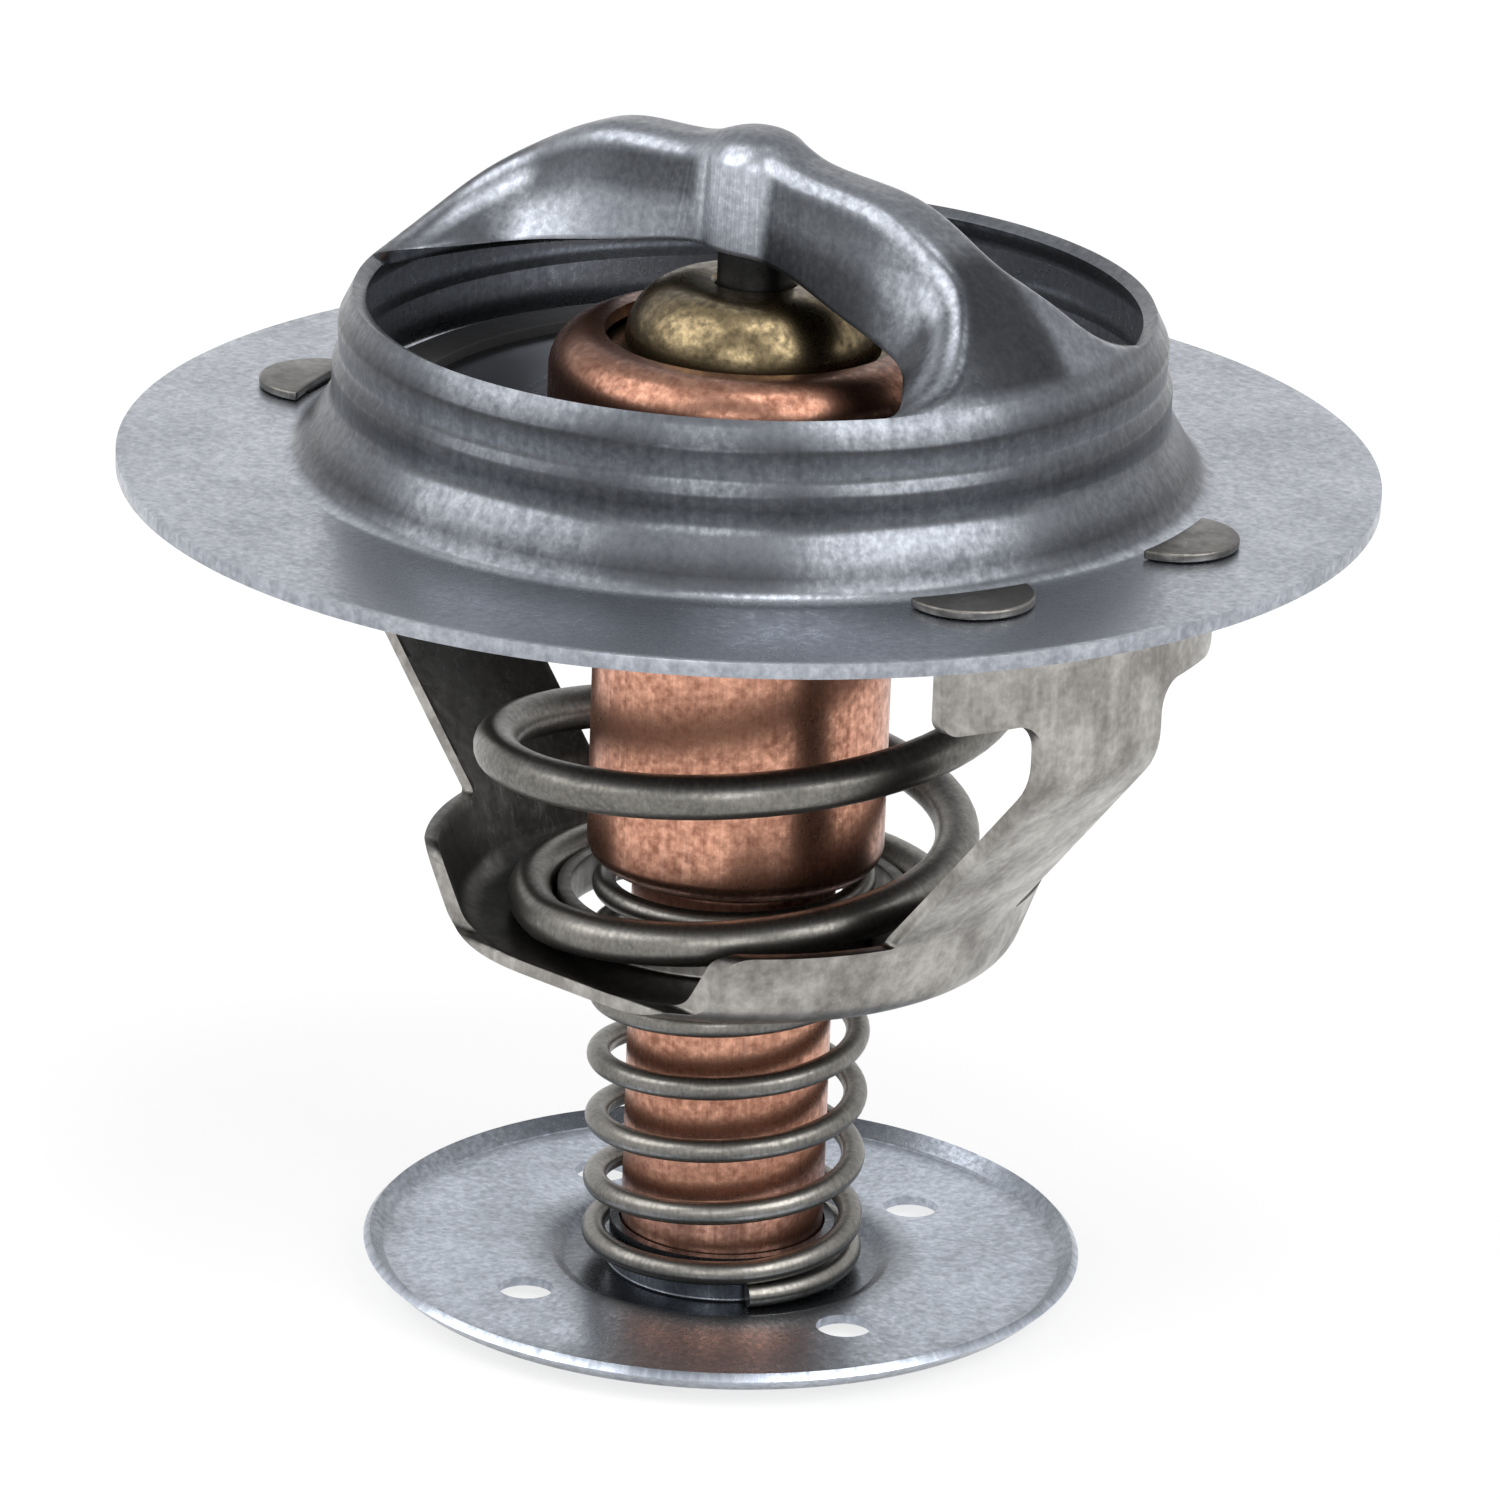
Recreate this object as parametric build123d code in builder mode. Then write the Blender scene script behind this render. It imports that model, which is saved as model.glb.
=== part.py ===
from build123d import *
import math
import os

# Engine thermostat of the insert type, with a bottom bypass valve. Sizes in mm, +Z up.
# The origin is the centre of the flange, on its upper face. The bridge and the two legs of
# the frame lie along X.

# Sheet gauges and wires
housing_gauge = 0.8
frame_gauge = 0.7
valve_gauge = 1.0
disc_gauge = 0.5
capsule_wall = 0.7
main_wire = 2.4
bypass_wire = 1.3

# Clearances
running_gap = 0.05
seat_gap = 0.05
slot_gap = 0.2

# Flange and collar of the housing, outer surface
flange_r = 33.5
collar_flare_r = 22.2
collar_flare = 1.9
collar_foot_r = collar_flare_r + collar_flare
collar_flare_z = 3.2
collar_step_z = 5.3
collar_step = 0.35
collar_step_height = 0.8
collar_taper = 0.25
collar_top_r = collar_flare_r - collar_taper
collar_turn_z = 7.2
rim_roll = 0.75
rim_r = collar_top_r - rim_roll
rim_z = 8.75
collar_foot_fillet = 1.3
collar_flare_fillet = 1.5
collar_fillet = 0.9

# Crown of the bridge: where its roof bends, from the hub outwards
hub_top_z = 18.3
arm_root_z = 17.15
dip_r = 4.9
dip_z = 16.95
swell_r = 7.75
swell_z = 16.75
flat_r = 10.6
flat_z = 16.35
knee_reach = 7.0
knee_r = rim_r - knee_reach
knee_z = 14.8
shoulder_reach = 2.8
shoulder_r = rim_r - shoulder_reach
shoulder_z = 11.9

# Outline of the bridge from above: stations along X, the half widths of the roof there, and
# how far the walls spread from the roof to the windows' rim
dip_x = 3.9
beam_x = 8.0
flare_x = 12.6
spread_reach = 5.0
spread_x = rim_r - spread_reach
foot_reach = 2.0
foot_x = rim_r - foot_reach
toe_reach = 2.8
toe_x = rim_r + toe_reach
dip_half_width = 1.75
beam_half_width = 2.2
flare_half_width = 2.7
spread_half_width = 4.85
foot_half_width = 9.8
toe_half_width = 14.6
dip_wall_spread = 0.9
beam_wall_spread = 1.5
flare_wall_spread = 1.8
spread_wall_spread = 1.7
foot_wall_spread = 0.8
toe_wall_spread = 1.0
bridge_edge_fillet = 1.1

# Lower edges of the bridge's walls
wall_edge_beam_z = 10.8
wall_edge_flare_z = 10.0
wall_edge_spread_z = 9.5

# Piston and the pocket that holds its head
piston_r = 2.05
piston_head_z = 17.1
piston_foot_z = -18.0
piston_chamfer = 0.5
pocket_lip_z = 11.9
hub_foot_r = piston_r + running_gap + housing_gauge
hub_taper = 0.35
hub_fillet = 1.0

# Frame, outer surface
band_clearance = 1.9
band_r = collar_foot_r + band_clearance
band_foot_z = -7.0
band_half_width = 10.4
leg_bend_z = -10.9
leg_half_width = 4.65
cup_foot_r = 15.0
cup_wall_lean = 1.7
cup_rim_z = -22.1
cup_floor_z = -26.8
cup_wall_half_width = 12.2
cup_floor_half_width = 13.2
cup_relief = 0.15
cup_bend = 2.2
cup_hole_r = 8.8
cup_lip_height = 2.6
leg_bend_fillet = 4.0
leg_foot_fillet = 1.2
frame_fillet = 0.9
window_corner = 1.6

# Tongues of the frame, staked flat over the flange
tab_front_deg = -20.0
tab_back_deg = 14.5
tab_stem_half_width = 1.4
tab_reach = 2.6
tab_half_width = 3.35
tab_gauge = 0.5

# Capsule
head_r = 10.8
head_floor_z = 2.0
head_top_z = 7.0
head_lip_r = 7.9
head_round = 2.2
barrel_r = 8.0
barrel_foot_z = -22.6
stem_r = 5.5
stem_foot_z = -46.3
stem_fillet = 0.8
shoulder_fillet = 1.2
neck_fillet = 0.2
head_fillet = 0.9

# Guide
dome_r = 6.8
dome_top_z = 9.8
dome_crown_r = 3.2
dome_step = 0.3
guide_foot_z = -9.0

# Rubber boot round the piston
boot_wall = 1.0
boot_flange = 1.2
boot_floor = 1.2

# Valve plate and its seal
bore_gap = 0.4
seal_reach = 1.8
seal_width = 2.7
seal_r = collar_flare_r - housing_gauge - bore_gap
valve_r = seal_r - seal_reach
seal_inner_r = seal_r - seal_width
seal_lip = 0.6
seal_foot_lean = 0.3
seal_head_lean = 0.5

# Main spring
main_foot_r = 10.95
main_head_gap = 0.1
main_head_r = seal_inner_r - main_wire / 2 - main_head_gap
main_pitch = 9.0
main_start_deg = 3.0
main_foot_turns = 0.68
main_head_turns = 0.7
coil_step_turns = 1 / 12

# Bypass spring
bypass_r = 7.0
bypass_pitch = 3.6
bypass_start_deg = -34.5
bypass_end_turns = 1.0
bypass_dead_pitch = 1.34

# Bypass disc
disc_r = 19.5
disc_floor_z = -46.4
disc_seat_r = 8.7
disc_seat_slope = 0.9
disc_seat_depth = 0.65
disc_seat_fillet = 0.7
disc_rim_height = 0.9
disc_rim_reach = 0.95
disc_bend = 0.8
neck_bend = 0.7
neck_height = 3.0
neck_gap = 0.12
disc_hole_count = 4
disc_hole_r = 1.5
disc_hole_circle_r = 12.4
disc_hole_deg = 76.0


def both_sides(points):
    """Mirror an outline that starts on the axis to the other side of it."""
    mirrored = [(-x, y) for x, y in reversed(points[1:])]
    return mirrored + list(points)


def inset(points, gauge):
    """Move an outline inwards by the sheet's gauge, square to itself."""
    moved = []
    for index, (x, y) in enumerate(points):
        before = points[max(index - 1, 0)]
        after = points[min(index + 1, len(points) - 1)]
        run = after[0] - before[0]
        rise = after[1] - before[1]
        length = math.hypot(run, rise)
        moved.append((x + gauge * rise / length, y - gauge * run / length))
    return moved


def inner_half(points, gauge):
    """Inset an outline that starts on the axis, and keep its half beyond the axis."""
    return inset(both_sides(points), gauge)[len(points) - 1:]


tab_angles = (tab_front_deg, tab_back_deg, 180 - tab_front_deg, 180 - tab_back_deg)

# Housing: flange, collar and bridge in one pressing
crown = [
    (0, arm_root_z),
    (dip_r, dip_z),
    (swell_r, swell_z),
    (flat_r, flat_z),
    (knee_r, knee_z),
    (shoulder_r, shoulder_z),
    (rim_r, rim_z),
    (collar_flare_r, collar_turn_z),
]
roof_outline = [
    (0, dip_half_width),
    (dip_x, dip_half_width),
    (beam_x, beam_half_width),
    (flare_x, flare_half_width),
    (spread_x, spread_half_width),
    (foot_x, foot_half_width),
    (toe_x, toe_half_width),
]
wall_outline = [
    (0, dip_half_width + dip_wall_spread),
    (dip_x, dip_half_width + dip_wall_spread),
    (beam_x, beam_half_width + beam_wall_spread),
    (flare_x, flare_half_width + flare_wall_spread),
    (spread_x, spread_half_width + spread_wall_spread),
    (foot_x, foot_half_width + foot_wall_spread),
    (toe_x, toe_half_width + toe_wall_spread),
]


def crown_form(points):
    """Revolve the crown's profile into a solid dome that stands on the flange's plane."""
    with BuildPart() as form:
        with BuildSketch(Plane.XZ):
            with BuildLine():
                roof = Spline(*points)
                skirt = Line(roof @ 1, (points[-1][0], 0))
                Line(skirt @ 1, (0, 0))
                Line((0, 0), roof @ 0)
            make_face()
        revolve(axis=Axis.Z)
    return form.part


def bridge_block(roof, foot, foot_z):
    """Loft the bridge's block between its outline at the foot and its outline above the hub."""
    with BuildPart() as block:
        for height, points in ((foot_z, foot), (hub_top_z + housing_gauge, roof)):
            with BuildSketch(Plane.XY.offset(height)):
                with BuildLine():
                    near = Spline(*both_sides(points))
                    far = Spline(*[(x, -y) for x, y in both_sides(points)])
                    Line(near @ 0, far @ 0)
                    Line(near @ 1, far @ 1)
                make_face()
        loft(ruled=True)
    return block.part


pocket_bore_r = piston_r + running_gap
with BuildPart() as bridge_skin:
    add(crown_form(crown))
    add(bridge_block(roof_outline, wall_outline, rim_z), mode=Mode.INTERSECT)
    roof_edges = bridge_skin.edges().filter_by(lambda edge: edge.length > 2 * foot_x)
    roof_edges = roof_edges.sort_by(Axis.Z)[-2:]
    fillet(roof_edges, radius=bridge_edge_fillet)

# The hub is drawn as a tube round the piston's head
with BuildPart() as hub:
    with BuildSketch(Plane.XZ):
        with BuildLine():
            shell = FilletPolyline(
                (0, hub_top_z),
                (hub_foot_r - hub_taper, hub_top_z),
                (hub_foot_r, rim_z),
                radius=hub_fillet,
            )
            Line(shell @ 1, (0, rim_z))
            Line((0, rim_z), shell @ 0)
        make_face()
    revolve(axis=Axis.Z)

with BuildPart() as bridge_hollow:
    add(crown_form(inner_half(crown, housing_gauge)))
    hollow_roof = inner_half(roof_outline, housing_gauge)
    hollow_wall = inner_half(wall_outline, housing_gauge)
    add(bridge_block(hollow_roof, hollow_wall, rim_z - housing_gauge), mode=Mode.INTERSECT)
    add(hub.part, mode=Mode.SUBTRACT)

rim_lean = (collar_top_r - rim_r) / (rim_z - collar_turn_z)
rim_run_r = rim_r - rim_lean * housing_gauge
with BuildPart() as housing:
    with BuildSketch(Plane.XZ):
        with BuildLine():
            FilletPolyline(
                (flange_r, 0),
                (collar_foot_r, 0),
                (collar_flare_r, collar_flare_z),
                (collar_flare_r, collar_step_z - collar_step_height / 2),
                (collar_flare_r - collar_step, collar_step_z + collar_step_height / 2),
                (collar_top_r, collar_turn_z),
                (rim_run_r, rim_z + housing_gauge),
                radius=[
                    collar_foot_fillet,
                    collar_flare_fillet,
                    collar_fillet,
                    collar_fillet,
                    collar_fillet,
                ],
            )
            offset(amount=housing_gauge, side=Side.LEFT, closed=True)
        make_face()
    revolve(axis=Axis.Z)
    # The rim of the windows is sheared level
    with BuildSketch(Plane.XY.offset(rim_z)):
        Circle(flange_r)
    extrude(amount=housing_gauge, mode=Mode.SUBTRACT)
    add(bridge_skin.part)
    add(bridge_hollow.part, mode=Mode.SUBTRACT)
    add(hub.part)
    # Lower edges of the bridge's walls
    with BuildSketch(Plane.XZ):
        with BuildLine():
            wall_edge = Spline(
                (-foot_x, rim_z),
                (-spread_x, wall_edge_spread_z),
                (-flare_x, wall_edge_flare_z),
                (-beam_x, wall_edge_beam_z),
                (0, pocket_lip_z),
                (beam_x, wall_edge_beam_z),
                (flare_x, wall_edge_flare_z),
                (spread_x, wall_edge_spread_z),
                (foot_x, rim_z),
            )
            Line(wall_edge @ 0, wall_edge @ 1)
        make_face()
    extrude(amount=foot_half_width, both=True, mode=Mode.SUBTRACT)
    with BuildSketch(Plane.XY.offset(rim_z)):
        Circle(pocket_bore_r)
    extrude(amount=piston_head_z + seat_gap - rim_z, mode=Mode.SUBTRACT)
    # Slots for the frame's tongues
    with BuildSketch(Plane.XY):
        for tab_deg in tab_angles:
            with PolarLocations(band_r - frame_gauge / 2, 1, tab_deg):
                Rectangle(frame_gauge + 2 * slot_gap, 2 * (tab_stem_half_width + slot_gap))
    extrude(amount=-housing_gauge, mode=Mode.SUBTRACT)
housing.part.label = "housing"

# Frame: cup, two legs, bands and tongues in one stamping
with BuildPart() as tongues:
    with BuildSketch(Plane.XY.offset(-housing_gauge - 2 * seat_gap)):
        for tab_deg in tab_angles:
            with PolarLocations(band_r, 1, tab_deg):
                Rectangle(tab_reach, 2 * tab_stem_half_width)
        Circle(band_r, mode=Mode.INTERSECT)
        Circle(band_r - frame_gauge, mode=Mode.SUBTRACT)
    extrude(amount=housing_gauge + 3 * seat_gap + tab_gauge)
    # The head of each tongue is a lens, straight along the slot's inner side
    with BuildSketch(Plane.XY.offset(seat_gap)):
        for tab_deg in tab_angles:
            with PolarLocations(band_r + tab_reach - tab_half_width, 1, tab_deg):
                Circle(tab_half_width)
        Circle(band_r - frame_gauge, mode=Mode.SUBTRACT)
    extrude(amount=tab_gauge)

floor_step_z = cup_floor_z + frame_gauge + cup_relief
with BuildPart() as frame:
    with BuildSketch(Plane.XZ):
        with BuildLine():
            FilletPolyline(
                (band_r, -housing_gauge - seat_gap),
                (band_r, leg_bend_z),
                (cup_foot_r + cup_wall_lean, cup_rim_z),
                (cup_foot_r, cup_floor_z),
                (cup_hole_r, cup_floor_z),
                (cup_hole_r, cup_floor_z + cup_lip_height),
                radius=[leg_bend_fillet, leg_foot_fillet, cup_bend, frame_fillet],
            )
            offset(amount=frame_gauge, side=Side.RIGHT, closed=True)
        make_face()
    revolve(axis=Axis.Z)
    # Developed outline, seen along the legs
    with BuildSketch(Plane.YZ):
        with BuildLine():
            Polyline(
                (0, 0),
                (band_half_width, 0),
                (band_half_width, band_foot_z),
                (leg_half_width, band_foot_z),
                (leg_half_width, cup_rim_z),
                (cup_wall_half_width, cup_rim_z),
                (cup_wall_half_width, floor_step_z),
                (cup_floor_half_width, floor_step_z),
                (cup_floor_half_width, cup_floor_z - frame_gauge),
                (0, cup_floor_z - frame_gauge),
                close=True,
            )
        make_face()
        window = vertices().filter_by(lambda v: v.X == leg_half_width and v.Y == band_foot_z)
        fillet(window, radius=window_corner)
        tips = vertices().filter_by(lambda v: v.X == band_half_width and v.Y == band_foot_z)
        tips += vertices().filter_by(lambda v: v.X == cup_wall_half_width and v.Y == cup_rim_z)
        fillet(tips, radius=frame_fillet)
        mirror(about=Plane.YZ)
    extrude(amount=band_r, both=True, mode=Mode.INTERSECT)
    add(tongues.part)
frame.part.label = "frame"

# Piston
with BuildPart() as piston:
    with BuildSketch(Plane.XY.offset(piston_foot_z)):
        Circle(piston_r)
    extrude(amount=piston_head_z - piston_foot_z)
    chamfer(piston.edges().filter_by(GeomType.CIRCLE), length=piston_chamfer)
piston.part.label = "piston"

# Capsule: a drawn copper cup of two barrels, its head rolled over the guide
stem_inner_r = stem_r - capsule_wall
barrel_inner_r = barrel_r - capsule_wall
guide_flange_r = head_r - capsule_wall - running_gap
with BuildPart() as capsule:
    with BuildSketch(Plane.XZ):
        with BuildLine():
            FilletPolyline(
                (0, stem_foot_z),
                (stem_r, stem_foot_z),
                (stem_r, barrel_foot_z),
                (barrel_r, barrel_foot_z),
                (barrel_r, head_floor_z),
                (head_r, head_floor_z),
                (head_r, head_top_z),
                (head_lip_r, head_top_z),
                radius=[
                    stem_fillet,
                    stem_fillet,
                    shoulder_fillet,
                    neck_fillet,
                    head_fillet,
                    head_round,
                ],
            )
            offset(amount=capsule_wall, side=Side.LEFT, closed=True)
        make_face()
    revolve(axis=Axis.Z)
capsule.part.label = "capsule"

# Guide: turned brass, domed round the piston
with BuildPart() as guide:
    with BuildSketch(Plane.XZ):
        with BuildLine():
            flange_top_z = head_top_z - capsule_wall - seat_gap
            bore_r = piston_r + running_gap
            Polyline(
                (bore_r, dome_top_z),
                (bore_r, guide_foot_z),
                (barrel_inner_r - running_gap, guide_foot_z),
                (barrel_inner_r - running_gap, head_floor_z + capsule_wall + seat_gap),
                (guide_flange_r, head_floor_z + capsule_wall + seat_gap),
                (guide_flange_r, flange_top_z - head_round),
                (guide_flange_r - head_round, flange_top_z - dome_step),
                (dome_r, flange_top_z - dome_step),
            )
            Spline(
                (dome_r, flange_top_z - dome_step),
                (dome_crown_r, dome_top_z),
                tangents=[(0, 1), (-1, 0)],
            )
            Line((dome_crown_r, dome_top_z), (bore_r, dome_top_z))
        make_face()
    revolve(axis=Axis.Z)
guide.part.label = "guide"

# Rubber boot over the piston's foot
boot_top_z = guide_foot_z - seat_gap
boot_bore_r = piston_r + running_gap
boot_foot_z = piston_foot_z - seat_gap - boot_floor
with BuildPart() as boot:
    with BuildSketch(Plane.XZ):
        Polygon(
            (boot_bore_r, boot_top_z),
            (barrel_inner_r - running_gap, boot_top_z),
            (barrel_inner_r - running_gap, boot_top_z - boot_flange),
            (boot_bore_r + boot_wall, boot_top_z - boot_flange),
            (boot_bore_r + boot_wall, boot_foot_z),
            (0, boot_foot_z),
            (0, boot_foot_z + boot_floor),
            (boot_bore_r, boot_foot_z + boot_floor),
            align=None,
        )
    revolve(axis=Axis.Z)
boot.part.label = "boot"

# Wax charge round the boot
wax_top_z = boot_top_z - boot_flange - seat_gap
with BuildPart() as wax:
    with BuildSketch(Plane.XZ):
        Polygon(
            (boot_bore_r + boot_wall + seat_gap, wax_top_z),
            (barrel_inner_r - seat_gap, wax_top_z),
            (barrel_inner_r - seat_gap, barrel_foot_z + capsule_wall + shoulder_fillet),
            (stem_inner_r - seat_gap, barrel_foot_z),
            (stem_inner_r - seat_gap, stem_foot_z + capsule_wall + stem_fillet),
            (0, stem_foot_z + capsule_wall + seat_gap),
            (0, boot_foot_z - seat_gap),
            (boot_bore_r + boot_wall + seat_gap, boot_foot_z - seat_gap),
            align=None,
        )
    revolve(axis=Axis.Z)
wax.part.label = "wax"

# Valve plate under the capsule's head
plate_top_z = head_floor_z - seat_gap
plate_foot_z = plate_top_z - valve_gauge
with BuildPart() as valve_plate:
    with BuildSketch(Plane.XY.offset(plate_foot_z)):
        Circle(valve_r)
        Circle(barrel_r + running_gap, mode=Mode.SUBTRACT)
    extrude(amount=valve_gauge)
valve_plate.part.label = "valve_plate"

# Rubber seal round the plate's edge
with BuildPart() as valve_seal:
    with BuildSketch(Plane.XZ):
        Polygon(
            (seal_inner_r, plate_top_z),
            (valve_r, plate_top_z),
            (valve_r, plate_foot_z),
            (seal_inner_r, plate_foot_z),
            (seal_inner_r, plate_foot_z - seal_lip),
            (seal_r - seal_foot_lean, plate_foot_z - seal_lip),
            (seal_r, plate_foot_z),
            (seal_r - seal_head_lean, plate_top_z + seal_lip),
            (seal_inner_r, plate_top_z + seal_lip),
            align=None,
        )
    revolve(axis=Axis.Z)
valve_seal.part.label = "valve_seal"


def coil_path(foot, head, start_deg, foot_turns, head_turns, pitch, dead_pitch):
    """List the points of a coil's centre line, foot and head given as (radius, height)."""
    rise = head[1] - foot[1] - dead_pitch * (foot_turns + head_turns)
    live_turns = rise / pitch
    turns = foot_turns + live_turns + head_turns
    count = round(turns / coil_step_turns)
    points = []
    for index in range(count + 1):
        turn = turns * index / count
        live = min(max(turn - foot_turns, 0), live_turns)
        height = foot[1] + dead_pitch * (turn - live) + pitch * live
        radius = foot[0] + (head[0] - foot[0]) * live / live_turns
        angle = math.radians(start_deg + 360 * turn)
        points.append((radius * math.cos(angle), radius * math.sin(angle), height))
    return points


# Main spring, conical, from the frame's cup to the valve plate
main_foot_z = cup_floor_z + frame_gauge + main_wire / 2 + seat_gap
main_head_z = plate_foot_z - main_wire / 2 - seat_gap
with BuildPart() as main_spring:
    with BuildLine():
        main_line = Spline(
            *coil_path(
                (main_foot_r, main_foot_z),
                (main_head_r, main_head_z),
                main_start_deg,
                main_foot_turns,
                main_head_turns,
                main_pitch,
                0,
            )
        )
    with BuildSketch(Plane(origin=main_line @ 0, z_dir=main_line % 0)):
        Circle(main_wire / 2)
    sweep(is_frenet=True)
main_spring.part.label = "main_spring"

# Bypass spring, from the disc to the capsule's shoulder
disc_top_z = disc_floor_z + disc_gauge
bypass_foot_z = disc_top_z + bypass_wire / 2 + seat_gap
bypass_head_z = barrel_foot_z - bypass_wire / 2 - seat_gap
with BuildPart() as bypass_spring:
    with BuildLine():
        bypass_line = Spline(
            *coil_path(
                (bypass_r, bypass_foot_z),
                (bypass_r, bypass_head_z),
                bypass_start_deg,
                bypass_end_turns,
                bypass_end_turns,
                bypass_pitch,
                bypass_dead_pitch,
            )
        )
    with BuildSketch(Plane(origin=bypass_line @ 0, z_dir=bypass_line % 0)):
        Circle(bypass_wire / 2)
    sweep(is_frenet=True)
bypass_spring.part.label = "bypass_spring"

# Bypass disc, with a sunken seat for the spring
disc_web_z = disc_floor_z + disc_seat_depth
with BuildPart() as bypass_disc:
    with BuildSketch(Plane.XZ):
        with BuildLine():
            FilletPolyline(
                (stem_r + neck_gap, disc_floor_z + neck_height),
                (stem_r + neck_gap, disc_floor_z),
                (disc_seat_r, disc_floor_z),
                (disc_seat_r + disc_seat_slope, disc_web_z),
                (disc_r - disc_rim_reach, disc_web_z),
                (disc_r, disc_web_z + disc_rim_height),
                radius=[neck_bend, disc_seat_fillet, disc_seat_fillet, disc_bend],
            )
            offset(amount=disc_gauge, side=Side.LEFT, closed=True)
        make_face()
    revolve(axis=Axis.Z)
    with BuildSketch(Plane.XY.offset(disc_web_z)):
        with PolarLocations(disc_hole_circle_r, disc_hole_count, disc_hole_deg):
            Circle(disc_hole_r)
    extrude(amount=disc_gauge, mode=Mode.SUBTRACT)
bypass_disc.part.label = "bypass_disc"

os.makedirs("parts", exist_ok=True)
for piece in (
    housing,
    frame,
    piston,
    guide,
    capsule,
    boot,
    wax,
    valve_plate,
    valve_seal,
    main_spring,
    bypass_spring,
    bypass_disc,
):
    export_step(piece.part, f"parts/{piece.part.label}.step")
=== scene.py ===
"""Looks of an insert thermostat: pressed housing, stamped frame, wax capsule, springs and valves.

Every size is in millimetres until a mesh is made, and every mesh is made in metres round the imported
frame. The bridge and the frame's legs lie along X, and the axis of the piston is Z.
"""

import logging
import math
from dataclasses import dataclass
from enum import Enum
from typing import Callable, Optional, Sequence, Union

import bmesh
import bpy
import numpy as np
from mathutils import Matrix, Vector

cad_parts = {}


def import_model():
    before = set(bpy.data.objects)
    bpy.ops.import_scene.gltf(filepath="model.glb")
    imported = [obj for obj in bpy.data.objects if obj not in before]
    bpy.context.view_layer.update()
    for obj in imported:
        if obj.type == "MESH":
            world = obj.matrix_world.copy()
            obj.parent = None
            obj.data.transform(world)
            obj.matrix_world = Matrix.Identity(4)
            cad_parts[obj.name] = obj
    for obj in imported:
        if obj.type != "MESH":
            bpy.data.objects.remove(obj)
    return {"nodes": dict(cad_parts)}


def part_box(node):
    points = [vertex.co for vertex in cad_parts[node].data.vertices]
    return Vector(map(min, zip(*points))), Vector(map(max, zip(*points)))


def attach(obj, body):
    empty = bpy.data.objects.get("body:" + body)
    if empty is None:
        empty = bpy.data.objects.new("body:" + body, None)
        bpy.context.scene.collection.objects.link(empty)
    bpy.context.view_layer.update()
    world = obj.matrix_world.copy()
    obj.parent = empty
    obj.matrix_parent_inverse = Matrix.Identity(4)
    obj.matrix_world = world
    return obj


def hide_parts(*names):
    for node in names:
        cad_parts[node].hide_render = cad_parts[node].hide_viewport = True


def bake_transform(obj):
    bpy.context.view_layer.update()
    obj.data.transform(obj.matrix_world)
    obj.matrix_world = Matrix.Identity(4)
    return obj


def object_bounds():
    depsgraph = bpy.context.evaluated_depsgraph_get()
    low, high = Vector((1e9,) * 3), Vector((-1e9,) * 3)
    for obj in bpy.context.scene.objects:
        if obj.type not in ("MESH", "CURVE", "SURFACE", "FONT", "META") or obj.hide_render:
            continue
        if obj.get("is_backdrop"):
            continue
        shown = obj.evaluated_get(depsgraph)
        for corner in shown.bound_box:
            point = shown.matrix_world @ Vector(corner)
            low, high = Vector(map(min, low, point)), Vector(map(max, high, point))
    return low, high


MM = 0.001
WHITE = (1.0, 1.0, 1.0, 1.0)
LOG = logging.getLogger("thermostat")
# Name of the attribute that holds each piece's painted shade and painted highlights
PAINTED_LIGHT = "tone"
MERGE = 0.0005
SLOTS_DEG = (-20.0, 14.5)

Point = tuple[float, float]
Colour = tuple[float, float, float]
Input = Union[float, int, bool, Sequence[float], bpy.types.NodeSocket, bpy.types.ID]


class Streak(Enum):
    """Which way the drawn or turned lines of a metal run."""

    NONE = (1.0, 1.0, 1.0)
    AROUND = (0.06, 1.0, 1.0)
    ALONG = (1.0, 1.0, 0.05)


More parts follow.
